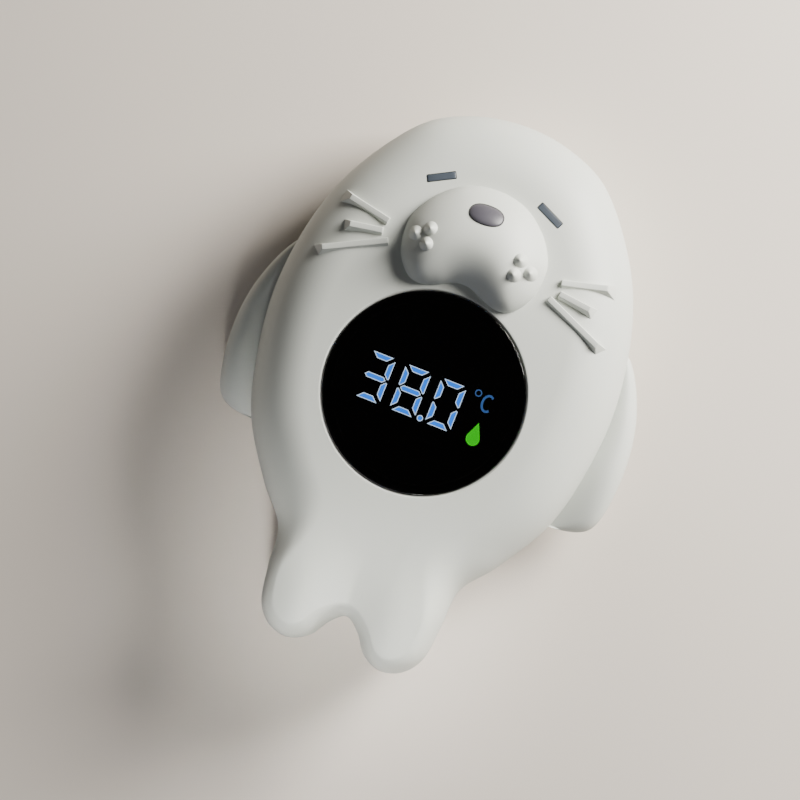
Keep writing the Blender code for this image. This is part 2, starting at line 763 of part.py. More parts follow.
def battery_well():
    """Frame round the door, the box over the cells and the boss for the door's screw."""
    frame_top = door_ledge_height() + WALL
    half_x = well_half_width() + WELL_WALL
    half_y = well_half_length() + WELL_WALL
    box = rounded_box(half_x, half_y, WELL_WALL, well_centre_y())
    boss_top = door_ledge_height() + DOOR_SCREW_LENGTH + WALL
    return [
        prism("door_frame", door_outline(FIT + WELL_WALL), WALL / 2, frame_top),
        prism("well_box", box, WALL, well_roof() + WELL_WALL),
        cylinder("door_boss", door_screw_place(), SCREW_RADIUS + WALL, WALL, boss_top),
    ]


def well_cuts():
    """The room for the cells, the recess for the door and the hole for its screw."""
    cavity = rounded_box(well_half_width(), well_half_length(), FIT, well_centre_y(), steps=1)
    ledge = door_ledge_height()
    pilot_end = door_inside() + DOOR_SCREW_LENGTH
    pilot = SCREW_RADIUS + FIT
    return [
        prism("cell_cavity", cavity, -FIT, well_roof()),
        prism("door_recess", door_outline(FIT), -FIT, ledge),
        cylinder("door_pilot", door_screw_place(), pilot, ledge - FIT, pilot_end, sides=PILOT_SIDES),
    ]


def rear_bosses():
    made = []
    for centre in boss_places():
        points = circle_points(centre, BOSS_RADIUS)
        feet = (belly_height(points) + belly_lining(points)) / 2
        made.append(loft("rear_boss", [raised(points, feet), raised(points, SEAM_HEIGHT)]))
    return made


def rear_boss_cuts():
    """Sunk seats for the screw heads, and the holes that their shanks pass through."""
    made = []
    head, shank = SCREW_HEAD_RADIUS + FIT, SCREW_RADIUS + FIT
    for at in boss_places():
        made.append(cylinder("screw_seat", at, head, -FIT, SHELL_SCREW_SEAT, sides=SEAT_SIDES))
        made.append(cylinder("screw_way", at, shank, 0, SEAM_HEIGHT + FIT, sides=PILOT_SIDES))
    return made


def pin_places():
    return [(side * PIN_X, PIN_Y) for side in (-1, 1)]


def pin_seat():
    """Height of the underside of a contact's head, sunk into the belly."""
    return belly_height([pin_places()[0]])[0] + PIN_HEAD_HEIGHT + SLIP


def sensor_pads():
    probe_pad = PROBE_RADIUS + FIT + PAD_WALL
    pin_pad = PIN_RADIUS + FIT + PAD_WALL
    made = [cylinder("probe_pad", (0, PROBE_Y), probe_pad, WALL, PAD_HEIGHT)]
    made += [cylinder("pin_pad", at, pin_pad, WALL, PAD_HEIGHT) for at in pin_places()]
    return made


def sensor_cuts():
    """A shallow dish that lets water reach the probe, and the holes for the probe and the contacts."""
    top = PAD_HEIGHT + WALL
    dish_top = belly_height([(0, PROBE_Y)])[0] + DISH_DEPTH
    bore = PROBE_RADIUS + FIT
    made = [
        cylinder("probe_dish", (0, PROBE_Y), DISH_RADIUS, -FIT, dish_top, top_radius=bore),
        cylinder("probe_way", (0, PROBE_Y), bore, -FIT, top),
    ]
    head, seat = PIN_HEAD_RADIUS + SLIP, pin_seat() + SLIP
    for at in pin_places():
        made.append(cylinder("pin_way", at, PIN_RADIUS + SLIP, -FIT, top, sides=SMALL_SIDES))
        made.append(cylinder("pin_seat", at, head, -FIT, seat, sides=SEAT_SIDES))
    return made


def shell_seal():
    """Silicone cord under the front shell's tongue, all the way round."""
    near, far = inset(LIP_WALL + FIT), inset(SIDE_WALL - SLIP)
    low, high = SEAL_LEDGE + SLIP, SEAL_LEDGE + SLIP + SEAL_THICKNESS
    rings = [raised(near, high), raised(near, low), raised(far, low), raised(far, high)]
    loft("shell_seal", rings, SILICONE, closed=True)


def lens():
    """Smoked window with a rounded upper edge, standing on its gasket in the shell's step."""
    base = LENS_TOP - LENS_THICKNESS
    profile = [(0, LENS_TOP)]
    for k in range(LENS_EDGE_STEPS + 1):
        angle = math.pi / 2 * (1 - k / LENS_EDGE_STEPS)
        radius = LENS_RADIUS - LENS_EDGE * (1 - math.cos(angle))
        profile.append((radius, LENS_TOP - LENS_EDGE * (1 - math.sin(angle))))
    profile += [(LENS_RADIUS, base), (0, base)]
    turned("display_lens", profile, LENS_CENTRE, LENS_PLASTIC, LENS_SIDES)
    inner, outer = LEDGE_RADIUS + GASKET_INSET, LENS_RADIUS - GASKET_INSET
    low = LEDGE_TOP + SLIP
    high = low + GASKET_THICKNESS
    ring("lens_gasket", LENS_CENTRE, inner, outer, low, high, FOAM, GASKET_SIDES)


def readout(points):
    """Places in the readout, turned with it and moved to the lens."""
    turn = np.array([
        [math.cos(READOUT_TURN), -math.sin(READOUT_TURN)],
        [math.sin(READOUT_TURN), math.cos(READOUT_TURN)],
    ])
    return np.asarray(points) @ turn.T + (0, LENS_CENTRE_Y)


def segment(centre, length, upright):
    """A bar with pointed ends, as in a seven-segment digit."""
    half, tip = SEGMENT_WIDTH / 2, length / 2
    bar = [(tip, 0), (tip - half, half), (half - tip, half)]
    bar += [(-x, -y) for x, y in bar]
    if upright:
        bar = [(-y, x) for x, y in bar]
    return np.array(bar) + centre


def digit_segments(middle_x):
    """The seven bars of one digit."""
    across = DIGIT_WIDTH - SEGMENT_WIDTH
    down = (DIGIT_HEIGHT - SEGMENT_WIDTH) / 2
    flat, tall = across - SEGMENT_GAP, down - SEGMENT_GAP
    bars = [segment((middle_x, READOUT_Y + row * down), flat, False) for row in (1, 0, -1)]
    for side in (-1, 1):
        x = middle_x + side * across / 2
        bars += [segment((x, READOUT_Y + row * down / 2), tall, True) for row in (1, -1)]
    return bars


def drop_outline():
    """A water drop: a round foot under a point."""
    radius = DROP_WIDTH / 2
    middle = np.array([DROP_X, READOUT_Y - DROP_TIP_DROP - DROP_HEIGHT + radius])
    angles = np.linspace(math.radians(150), math.radians(390), 13)
    foot = middle + radius * np.stack([np.cos(angles), np.sin(angles)], axis=1)
    return np.vstack([foot, [DROP_X, READOUT_Y - DROP_TIP_DROP]])


def unit_outline():
    """The letter of the temperature scale, as a square bracket with cut corners."""
    x, y = UNIT_WIDTH / 2, UNIT_HEIGHT / 2
    s = UNIT_STROKE
    bracket = [
        (x, y), (s - x, y), (-x, y - s), (-x, s - y), (s - x, -y), (x, -y),
        (x, s - y), (s - x, s - y), (s - x, y - s), (x, y - s),
    ]
    return np.array(bracket) + (UNIT_X, READOUT_Y + UNIT_RISE)


def cell_outlines():
    """Every light cell of the display: three digits, the point, the degree sign, the unit, the drop."""
    cells = []
    for place_in_row in range(3):
        cells += digit_segments(FIRST_DIGIT_X + place_in_row * DIGIT_PITCH)
    point_y = READOUT_Y - DIGIT_HEIGHT / 2 + POINT_RADIUS
    cells.append(circle_points((POINT_X, point_y), POINT_RADIUS, TINY_SIDES))
    cells.append(circle_points((DEGREE_X, READOUT_Y + DEGREE_RISE), DEGREE_RADIUS, TINY_SIDES))
    cells += [unit_outline(), drop_outline()]
    return [readout(cell) for cell in cells]


def led_places():
    """The middle of each light cell, or of its upright stroke where the cell is the unit's letter."""
    outlines = cell_outlines()
    spots = [(cell.min(axis=0) + cell.max(axis=0)) / 2 for cell in outlines]
    stroke = UNIT_X - (UNIT_WIDTH - UNIT_STROKE) / 2
    spots[-2] = readout([(stroke, READOUT_Y + UNIT_RISE)])[0]
    return spots


def display():
    """Black housing with a light cell for each segment, under a diffusing film."""
    plate = readout(np.array(rounded_box(REFLECTOR_LENGTH / 2, REFLECTOR_WIDTH / 2, FIT, 0, 1)))
    low = BOARD_TOP + SLIP
    block = prism("display_housing", plate, low, REFLECTOR_TOP, BLACK_PLASTIC)
    cells = [prism("light_cell", cell, low - FIT, REFLECTOR_TOP + FIT) for cell in cell_outlines()]
    combine(block, "DIFFERENCE", cells)
    prism("display_film", plate, FILM_TOP - FILM_THICKNESS, FILM_TOP, FILM)


def main_board():
    """Round board with an LED under each light cell, held by four screws."""
    low, high = BOARD_BOTTOM, BOARD_TOP
    board = cylinder("main_board", LENS_CENTRE, BOARD_RADIUS, low, high, BOARD_GREEN, BOARD_SIDES)
    leds = []
    for spot in led_places():
        square = spot + np.array(CORNERS) * LED_SIZE / 2
        leds.append(prism("led", square, high - LED_HEIGHT, high + LED_HEIGHT))
    combine(board, "UNION", leds)
    way = SCREW_RADIUS + FIT
    ways = [
        cylinder("board_way", at, way, low - FIT, high + FIT, sides=PILOT_SIDES) for at in post_places()
    ]
    combine(board, "DIFFERENCE", ways)
    outline = np.array(CORNERS) * CHIP_SIZE / 2 + (CHIP_X, LENS_CENTRE_Y)
    top = low - SLIP
    prism("control_chip", outline, top - CHIP_HEIGHT, top, CHIP_BLACK)


def screw(name, at, seat, length):
    """A pan-head screw driven upward, with its head's face against a seat from below."""
    under = seat - SLIP
    low = under - SCREW_HEAD_HEIGHT
    slot = SCREW_HEAD_RADIUS * SLOT_SHARE
    tip = under + length
    profile = [
        (0, tip), (SCREW_RADIUS / 2, tip), (SCREW_RADIUS, tip - SCREW_RADIUS), (SCREW_RADIUS, under),
        (SCREW_HEAD_RADIUS, under), (SCREW_HEAD_RADIUS, low + SLIP), (SCREW_HEAD_RADIUS - SLIP, low),
        (slot, low), (0, low + SCREW_HEAD_HEIGHT / 2),
    ]
    return turned(name, profile, at, STEEL, PILOT_SIDES)


def screws():
    for number, at in enumerate(boss_places(), start=1):
        screw(f"shell_screw_{number}", at, SHELL_SCREW_SEAT, SHELL_SCREW_LENGTH)
    for number, at in enumerate(post_places(), start=1):
        screw(f"board_screw_{number}", at, BOARD_BOTTOM, BOARD_SCREW_LENGTH)
    screw("door_screw", door_screw_place(), door_head_seat(), DOOR_SCREW_LENGTH)


def door_head_seat():
    return DOOR_RECESS + DOOR_THICKNESS * DOOR_SEAT_SHARE + SLIP


def battery_door():
    """Flat cover in the belly, with its seal and a sunk seat for its screw."""
    outer = door_outline()
    door = prism("battery_door", outer, DOOR_RECESS, door_inside(), SHELL_PLASTIC)
    at = door_screw_place()
    cuts = [
        cylinder("door_seat", at, SCREW_HEAD_RADIUS + FIT, -FIT, door_head_seat(), sides=SEAT_SIDES),
        cylinder("door_way", at, SCREW_RADIUS + FIT, -FIT, door_inside() + FIT, sides=PILOT_SIDES),
    ]
    combine(door, "DIFFERENCE", cuts)
    low = door_inside() + SLIP
    rings = []
    for margin, height in ((0, 0), (0, 1), (1, 1), (1, 0)):
        grow = DOOR_LEDGE / 4 + DOOR_SEAL_WIDTH * margin
        half_x = well_half_width() + grow
        half_y = well_half_length() + grow
        points = np.array(rounded_box(half_x, half_y, 2 * FIT + grow, well_centre_y()))
        rings.append(raised(points, low + DOOR_SEAL_THICKNESS * height))
    loft("door_seal", rings, SILICONE, closed=True)


def lay_along(obj, x, y, toward):
    """Lays a turned piece down with its axis along the body."""
    obj.rotation_euler = (-math.pi / 2 * toward, 0, 0)
    obj.location = (x, y, cell_height())


def cells_and_contacts():
    """Two cells side by side, pointing opposite ways, between spring and plate contacts."""
    low_end = well_centre_y() - well_half_length() + FIT
    high_end = well_centre_y() + well_half_length() - FIT
    spacing = CELL_RADIUS + FIT / 2
    profile = [
        (0, CELL_NUB_LENGTH), (CELL_NUB_RADIUS, CELL_NUB_LENGTH), (CELL_NUB_RADIUS, 0),
        (CELL_RADIUS - FIT, 0), (CELL_RADIUS, -FIT), (CELL_RADIUS, FIT - CELL_LENGTH),
        (CELL_RADIUS - FIT, -CELL_LENGTH), (0, -CELL_LENGTH),
    ]
    shoulder = CONTACT_THICKNESS + FIT + CELL_NUB_LENGTH
    left = turned("left_cell", profile, (0, 0), CELL_JACKET, SEAT_SIDES)
    lay_along(left, -spacing, high_end - shoulder, 1)
    right = turned("right_cell", profile, (0, 0), CELL_JACKET, SEAT_SIDES)
    lay_along(right, spacing, low_end + shoulder, -1)
    half = CONTACT_WIDTH / 2
    low, high = cell_height() - half, cell_height() + half
    wide = spacing + half

    def plate(name, x0, x1, y0, y1):
        prism(name, [(x0, y0), (x1, y0), (x1, y1), (x0, y1)], low, high, NICKEL)

    plate("contact_bridge", -wide, wide, high_end - CONTACT_THICKNESS, high_end)
    plate("negative_contact", -spacing - half, half - spacing, low_end, low_end + CONTACT_THICKNESS)
    plate("positive_contact", spacing - half, spacing + half, low_end, low_end + CONTACT_THICKNESS)
    reach = CONTACT_THICKNESS + SLIP
    spring("negative_spring", -spacing, low_end + reach)
    spring("bridge_spring", spacing, high_end - reach - SPRING_LENGTH + 2 * SLIP)


def spring(name, x, start):
    """An open coil of round wire with its axis along the body."""
    curve = bpy.data.curves.new(name, "CURVE")
    curve.dimensions = "3D"
    curve.bevel_depth = SPRING_WIRE
    curve.bevel_resolution = 1
    curve.use_fill_caps = True
    steps = STEPS_PER_TURN * SPRING_TURNS
    travel = SPRING_LENGTH - 2 * SPRING_WIRE - 2 * SLIP
    coil = curve.splines.new("POLY")
    coil.points.add(steps)
    for k, point in enumerate(coil.points):
        angle = 2 * math.pi * SPRING_TURNS * k / steps
        y = start + SPRING_WIRE + travel * k / steps
        across, up = SPRING_RADIUS * math.cos(angle), SPRING_RADIUS * math.sin(angle)
        point.co = (x + across, y, cell_height() + up, 1)
    curve.materials.append(STEEL)
    PARTS.objects.link(bpy.data.objects.new(name, curve))


def sensors():
    """Steel probe cap with its thermistor and seal, and the two contacts that feel the water."""
    seat = PAD_HEIGHT
    flange_low = seat + SEAL_RING_HEIGHT + 2 * SLIP
    flange_high = flange_low + 2 * PROBE_WALL
    tip = belly_height([(0, PROBE_Y)])[0] + SLIP
    top = tip + PROBE_LENGTH
    inside = PROBE_RADIUS - PROBE_WALL
    at = (0, PROBE_Y)
    profile = [
        (inside, top), (PROBE_RADIUS, top), (PROBE_RADIUS, flange_high),
        (PROBE_RADIUS + PROBE_FLANGE, flange_high), (PROBE_RADIUS + PROBE_FLANGE, flange_low),
        (PROBE_RADIUS, flange_low), (PROBE_RADIUS, tip + PROBE_RADIUS / 2),
        (PROBE_RADIUS * 0.85, tip + PROBE_RADIUS * 0.2), (PROBE_RADIUS / 2, tip), (0, tip),
        (0, tip + PROBE_WALL), (inside * 0.6, tip + PROBE_WALL), (inside, tip + PROBE_RADIUS * 0.6),
    ]
    turned("temperature_probe", profile, at, STEEL, SEAT_SIDES, closed=True)
    low = tip + PROBE_WALL + SLIP
    bead = [(0, top), (THERMISTOR_RADIUS * 0.6, top), (THERMISTOR_RADIUS, top - THERMISTOR_RADIUS)]
    bead += [(THERMISTOR_RADIUS, low + THERMISTOR_RADIUS), (THERMISTOR_RADIUS * 0.6, low), (0, low)]
    turned("thermistor", bead, at, RESIN, TINY_SIDES)
    seal_low = seat + SLIP
    seal_high = seal_low + SEAL_RING_HEIGHT
    bore = PROBE_RADIUS + SLIP
    ring("probe_seal", at, bore, bore + SEAL_RING_WIDTH, seal_low, seal_high, SILICONE, SEAT_SIDES)
    hole = PIN_RADIUS + SLIP
    under = pin_seat()
    for name, spot in zip(("left", "right"), pin_places()):
        pin = [
            (0, under + PIN_LENGTH), (PIN_RADIUS * 0.7, under + PIN_LENGTH),
            (PIN_RADIUS, under + PIN_LENGTH - SLIP), (PIN_RADIUS, under), (PIN_HEAD_RADIUS, under),
            (PIN_HEAD_RADIUS, under - PIN_HEAD_HEIGHT * 0.6),
            (PIN_HEAD_RADIUS * 0.7, under - PIN_HEAD_HEIGHT), (0, under - PIN_HEAD_HEIGHT),
        ]
        turned(f"{name}_water_contact", pin, spot, STEEL, SMALL_SIDES)
        ring(
            f"{name}_contact_seal", spot, hole, hole + SEAL_RING_WIDTH,
            seal_low, seal_high, SILICONE, SMALL_SIDES,
        )


front_shell()
rear_shell()
inserts()
shell_seal()
lens()
display()
main_board()
battery_door()
cells_and_contacts()
sensors()
screws()
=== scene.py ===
import json
import math

import bpy
import numpy as np
from mathutils import Matrix, Vector


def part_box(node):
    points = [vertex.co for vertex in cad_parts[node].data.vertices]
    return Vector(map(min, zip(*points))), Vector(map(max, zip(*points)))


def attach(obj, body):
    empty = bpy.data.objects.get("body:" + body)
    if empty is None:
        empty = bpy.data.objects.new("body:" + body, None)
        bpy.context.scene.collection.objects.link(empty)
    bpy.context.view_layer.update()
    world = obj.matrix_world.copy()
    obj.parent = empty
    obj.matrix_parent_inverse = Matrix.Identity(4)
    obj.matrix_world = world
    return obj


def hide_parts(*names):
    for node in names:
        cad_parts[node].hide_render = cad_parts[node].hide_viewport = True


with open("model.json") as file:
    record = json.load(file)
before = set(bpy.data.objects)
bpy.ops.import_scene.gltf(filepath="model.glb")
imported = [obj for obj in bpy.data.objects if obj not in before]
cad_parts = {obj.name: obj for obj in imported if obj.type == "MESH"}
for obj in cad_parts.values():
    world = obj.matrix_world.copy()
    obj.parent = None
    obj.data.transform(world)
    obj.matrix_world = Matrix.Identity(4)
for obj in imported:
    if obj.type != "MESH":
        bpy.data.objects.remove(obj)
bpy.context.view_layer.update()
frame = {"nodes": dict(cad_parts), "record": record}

MM = 0.001

# Camera, lights and floor
# The thermometer lies on its back on a pale table and is seen from straight above the display, a
# few degrees from its right side, with its head leaning to the right. The light is a broad soft
# lamp low on the right, a weak one at the lower left and a small one with a narrow beam on the tail.
LENS_CENTRE = np.array([0.0, -1.0 * MM])
LENS_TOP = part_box("display_lens")[1].z
HEAD_LEAN = math.radians(20)
CAMERA_SIDE = math.radians(4.2)
FOCAL_LENGTH = 180.0
SENSOR_WIDTH = 36.0
FRAME_WIDTH = 152.0 * MM
LENS_IN_FRAME = (4.47 * MM, 1.33 * MM)
TAIL_MIDDLE = Vector((-4.0 * MM, -52.0 * MM, 20.0 * MM))
SKY_STRENGTH = 0.035
TABLE_HALF = 1.5
IMAGE_RIGHT = Vector((math.cos(HEAD_LEAN), math.sin(HEAD_LEAN), 0))
IMAGE_UP = Vector((-math.sin(HEAD_LEAN), math.cos(HEAD_LEAN), 0))


def aim(obj, place, target, up):
    """Puts a camera or lamp into the scene, looking from a place at a target with its top towards up."""
    back = (place - target).normalized()
    across = up.cross(back).normalized()
    turn = Matrix((across, back.cross(across), back)).transposed()
    obj.matrix_world = Matrix.Translation(place) @ turn.to_4x4()
    bpy.context.scene.collection.objects.link(obj)


middle = Vector((*LENS_CENTRE, LENS_TOP)) - IMAGE_RIGHT * LENS_IN_FRAME[0] - IMAGE_UP * LENS_IN_FRAME[1]
camera = bpy.data.objects.new("camera", bpy.data.cameras.new("camera"))
camera.data.lens = FOCAL_LENGTH
camera.data.clip_start = 0.01
away = Vector((math.sin(CAMERA_SIDE), 0, math.cos(CAMERA_SIDE)))
aim(camera, middle + away * (FRAME_WIDTH * FOCAL_LENGTH / SENSOR_WIDTH), middle, IMAGE_UP)
bpy.context.scene.camera = camera


def linear(code):
    """Turns an sRGB hex colour into the linear numbers that a shader takes: a channel near black is
    divided by 12.92, and any other is scaled and raised to the power 2.4."""
    channels = np.array([int(code[i:i + 2], 16) for i in (0, 2, 4)]) / 255
    return (*np.where(channels <= 0.04045, channels / 12.92, ((channels + 0.055) / 1.055) ** 2.4), 1.0)


def lamp(name, right, up, height, width, watts, colour, target=middle, spread=180):
    """A square soft lamp, placed in metres from the middle of the picture. Its light leaves within a
    spread in degrees about the line to its target."""
    light = bpy.data.objects.new(name, bpy.data.lights.new(name, "AREA"))
    light.data.size = width
    light.data.energy = watts
    light.data.color = linear(colour)[:3]
    light.data.spread = math.radians(spread)
    aim(light, middle + IMAGE_RIGHT * right + IMAGE_UP * up + Vector((0, 0, height)), target, IMAGE_UP)


lamp("right_lamp", 0.35, 0.185, 0.17, 0.23, 7.4, "FFFCF6")
lamp("left_lamp", -0.20, -0.33, 0.20, 0.30, 0.38, "EEF2FF")
lamp("tail_lamp", -0.02, -0.16, 0.16, 0.04, 0.0125, "FFFDF8", TAIL_MIDDLE, spread=24)


def node(tree, kind, inputs=None, **settings):
    """Adds a shader node: settings are its attributes, inputs its sockets' values or links."""
    made = tree.nodes.new(kind)
    for name, value in settings.items():
        setattr(made, name, value)
    for name, value in (inputs or {}).items():
        if isinstance(value, bpy.types.NodeSocket):
            tree.links.new(value, made.inputs[name])
        else:
            made.inputs[name].default_value = value
    return made


def surface(name, **values):
    """A material with one Principled shader: gives it, its node tree, the shader and object places."""
    made = bpy.data.materials.new(name)
    made.use_nodes = True
    shader = made.node_tree.nodes["Principled BSDF"]
    for socket, value in values.items():
        shader.inputs[socket.replace("_", " ")].default_value = value
    return made, made.node_tree, shader, node(made.node_tree, "ShaderNodeTexCoord").outputs["Object"]


def noise(tree, places, size, detail=2.0):
    """Soft noise whose features have about a size in metres."""
    inputs = {"Vector": places, "Scale": 1 / size, "Detail": detail}
    return node(tree, "ShaderNodeTexNoise", inputs).outputs["Fac"]


def toned(tree, socket, factor, dark, light):
    """Colours a socket between two sRGB tones by a pattern."""
    tone = node(tree, "ShaderNodeMix", {"Factor": factor}, data_type="RGBA")
    tone.inputs["A"].default_value = linear(dark)
    tone.inputs["B"].default_value = linear(light)
    tree.links.new(tone.outputs["Result"], socket)


def bumped(tree, shader, pattern, depth, strength=1.0):
    """Raises a surface by a pattern, with its depth in metres."""
    bump = node(tree, "ShaderNodeBump", {"Height": pattern, "Distance": depth, "Strength": strength})
    tree.links.new(bump.outputs["Normal"], shader.inputs["Normal"])


def glossed(tree, shader, pattern, low, high):
    """Lets roughness run between two values with a pattern."""
    gloss = node(tree, "ShaderNodeMapRange", {"Value": pattern, "To Min": low, "To Max": high})
    tree.links.new(gloss.outputs["Result"], shader.inputs["Roughness"])


world = bpy.data.worlds.new("studio")
world.use_nodes = True
world.node_tree.nodes["Background"].inputs["Color"].default_value = linear("F4EFE8")
world.node_tree.nodes["Background"].inputs["Strength"].default_value = SKY_STRENGTH
bpy.context.scene.world = world

# Smooth pale lacquer: cream, with a slow drift of tone and a fine roller grain.
lacquer, tree, shader, places = surface("pale_lacquered_table")
toned(tree, shader.inputs["Base Color"], noise(tree, places, 350 * MM), "DED4C8", "E6DDD2")
glossed(tree, shader, noise(tree, places, 1.2 * MM), 0.55, 0.7)
bumped(tree, shader, noise(tree, places, 1.2 * MM, 3.0), 0.02 * MM, 0.4)
table_mesh = bpy.data.meshes.new("table")
table_corners = [(x * TABLE_HALF, y * TABLE_HALF, 0) for x, y in ((-1, -1), (1, -1), (1, 1), (-1, 1))]
table_mesh.from_pydata(table_corners, [], [(0, 1, 2, 3)])
table_mesh.materials.append(lacquer)
table = bpy.data.objects.new("table", table_mesh)
bpy.context.scene.collection.objects.link(table)

# Front shell
# The domed upper half is one ABS moulding in pale sage grey. Its steel mould is spark-eroded, which
# leaves an even matt skin. The muzzle stands on the face with a crisp foot, and the edge of the
# display's opening is cut with a small chamfer.
SHELL_LENGTH = 108.4 * MM
SHELL_WIDTH = 69.9 * MM
SEAM_HEIGHT = 14.0 * MM
SEAM_GAP = 0.12 * MM
FACE_RISE = 9.7 * MM
FACE_DOME = 4.5 * MM
FACE_ROLL = 11.5 * MM
ROLL_POWER = 2.2
EDGE_REACH = 2.9 * MM
SURE_DEPTH = 0.8 * MM
TAIL_START = -24.0 * MM
TAIL_SPAN = 20.0 * MM
TAIL_ROLL = 3.2 * MM
LOBE_PLACE = np.array([9.6, -45.5]) * MM
LOBE_SIZE = np.array([6.5, 10.0]) * MM
LOBE_LIFT = 1.7 * MM
APERTURE_RADIUS = 19.54 * MM
APERTURE_CHAMFER = 0.42 * MM
LEDGE_RADIUS = 17.4 * MM
LEDGE_TOP_DEPTH = 3.0 * MM
LEDGE_UNDERSIDE_DEPTH = 4.6 * MM
HOLLOW_RADIUS = APERTURE_RADIUS + 3.0 * MM
MUZZLE_LENGTH = 21.68 * MM
MUZZLE_WIDTH = 28.17 * MM
MUZZLE_Y = 29.24 * MM
MUZZLE_RISE = 7.0 * MM
MUZZLE_ROLL = 10.2 * MM
MUZZLE_POWER = 1.7
MUZZLE_REACH = 1.6 * MM
MUZZLE_ROOT = 0.8 * MM
MUZZLE_HUB = np.array([0.0, MUZZLE_Y + 1.0 * MM])

# Insets and heights of the inner wall in millimetres, from the hollow out to the seam.
INNER_WALL = ((5.0, 16.5), (2.5, 12.5), (1.2, 12.5), (1.2, 14.12))

# Right half of each outline, as shares of half the width and half the length.
BODY_OUTLINE = (
    (0.0, 1.0), (0.294, 0.970), (0.554, 0.878), (0.805, 0.660), (0.939, 0.442), (1.0, 0.179),
    (0.974, -0.066), (0.880, -0.305), (0.688, -0.509), (0.534, -0.635), (0.506, -0.780),
    (0.475, -0.908), (0.391, -0.979), (0.271, -1.0), (0.160, -0.966), (0.087, -0.900), (0.0, -0.859),
)
MUZZLE_OUTLINE = (
    (0.0, 1.0), (0.42, 0.89), (0.75, 0.57), (0.95, 0.18), (1.0, -0.16), (0.94, -0.6), (0.75, -0.93),
    (0.54, -1.0), (0.32, -0.91), (0.14, -0.80), (0.0, -0.77),
)


def closed_spline(half_outline, width, length, middle_y, steps):
    """Smooth closed curve through a half outline and its mirror image: each span is the cubic that
    passes through its two knots with the slope of the chord between the knots beside it."""
    right = np.array(half_outline) * (width / 2, length / 2) + (0, middle_y)
    knots = np.vstack([(right * (-1, 1))[:-1], right[:0:-1]])
    a, b, c, d = (np.roll(knots, shift, axis=0)[:, None] for shift in (1, 0, -1, -2))
    t = (np.arange(steps) / steps)[None, :, None]
    curve = 2 * b + (c - a) * t + (2 * a - 5 * b + 4 * c - d) * t**2 + (3 * b - a - 3 * c + d) * t**3
    return curve.reshape(-1, 2) / 2


def soft_depth(points, edge):
    """Distance from a closed edge, as the inverse fifth root of the summed inverse sixth powers of
    the distances to all of it: exact beside a straight edge, and rounded where two sides meet."""
    step = np.linalg.norm(np.roll(edge, -1, axis=0) - np.roll(edge, 1, axis=0), axis=1) / 2
    depths = []
    for part in np.array_split(points, max(1, len(points) // 2000)):
        gap = np.linalg.norm(part[:, None] - edge, axis=2) + 1e-7
        depths.append((np.sum(step / gap**6, axis=1) * 8 / (3 * math.pi)) ** -0.2)
    return np.concatenate(depths)


def inside(points, edge):
    """Whether each point lies inside a closed edge: a ray from it crosses an odd number of sides."""
    after = np.roll(edge, -1, axis=0)
    x, y = points[:, 0][:, None], points[:, 1][:, None]
    spans = (edge[:, 1] > y) != (after[:, 1] > y)
    rise = np.where(after[:, 1] == edge[:, 1], 1e-12, after[:, 1] - edge[:, 1])
    cross = edge[:, 0] + (y - edge[:, 1]) * (after[:, 0] - edge[:, 0]) / rise
    return (np.sum(spans & (x < cross), axis=1) % 2).astype(bool)


def roll(depth, width, power):
    """Share of the full height at a depth inside the edge: a quarter of a superellipse."""
    left = np.clip(1 - np.asarray(depth) / width, 0, 1)
    return (1 - left**power) ** (1 / power)


EDGE = closed_spline(BODY_OUTLINE, SHELL_WIDTH, SHELL_LENGTH, 0, 60)
OUTLINE = closed_spline(BODY_OUTLINE, SHELL_WIDTH, SHELL_LENGTH, 0, 14)
MUZZLE_EDGE = closed_spline(MUZZLE_OUTLINE, MUZZLE_WIDTH, MUZZLE_LENGTH, MUZZLE_Y, 60)
MUZZLE_RIM = closed_spline(MUZZLE_OUTLINE, MUZZLE_WIDTH, MUZZLE_LENGTH, MUZZLE_Y, 16)
RAYS = (OUTLINE - LENS_CENTRE) / np.linalg.norm(OUTLINE - LENS_CENTRE, axis=1)[:, None]


def base_height(points, depth=None):
    """Face without the muzzle: seam height plus the edge's roll times a rise that falls with the
    square of the distance from the display. Towards the tail the roll gets narrower along a smooth
    step, and each lobe swells in a bell curve."""
    points = np.asarray(points, dtype=float)
    depth = soft_depth(points, EDGE) if depth is None else depth
    away = np.linalg.norm(points - LENS_CENTRE, axis=1) / (SHELL_LENGTH / 2)
    tail = np.clip((TAIL_START - points[:, 1]) / TAIL_SPAN, 0, 1)
    tail = tail**2 * (3 - 2 * tail)
    swell = np.exp(-np.sum(((np.abs(points) * (1, -1) - LOBE_PLACE) / LOBE_SIZE) ** 2, axis=1))
    rise = FACE_RISE + FACE_DOME * (1 - away**2) + LOBE_LIFT * swell * (points[:, 1] < 0)
    return SEAM_HEIGHT + SEAM_GAP + roll(depth, FACE_ROLL + (TAIL_ROLL - FACE_ROLL) * tail, ROLL_POWER) * rise


def face_height(points):
    """Face with the muzzle, which adds the roll of a point's depth inside its own edge."""
    points = np.asarray(points, dtype=float)
    depth = np.where(inside(points, MUZZLE_EDGE), soft_depth(points, MUZZLE_EDGE), 0)
    return base_height(points) + MUZZLE_RISE * roll(depth, MUZZLE_ROLL, MUZZLE_POWER)


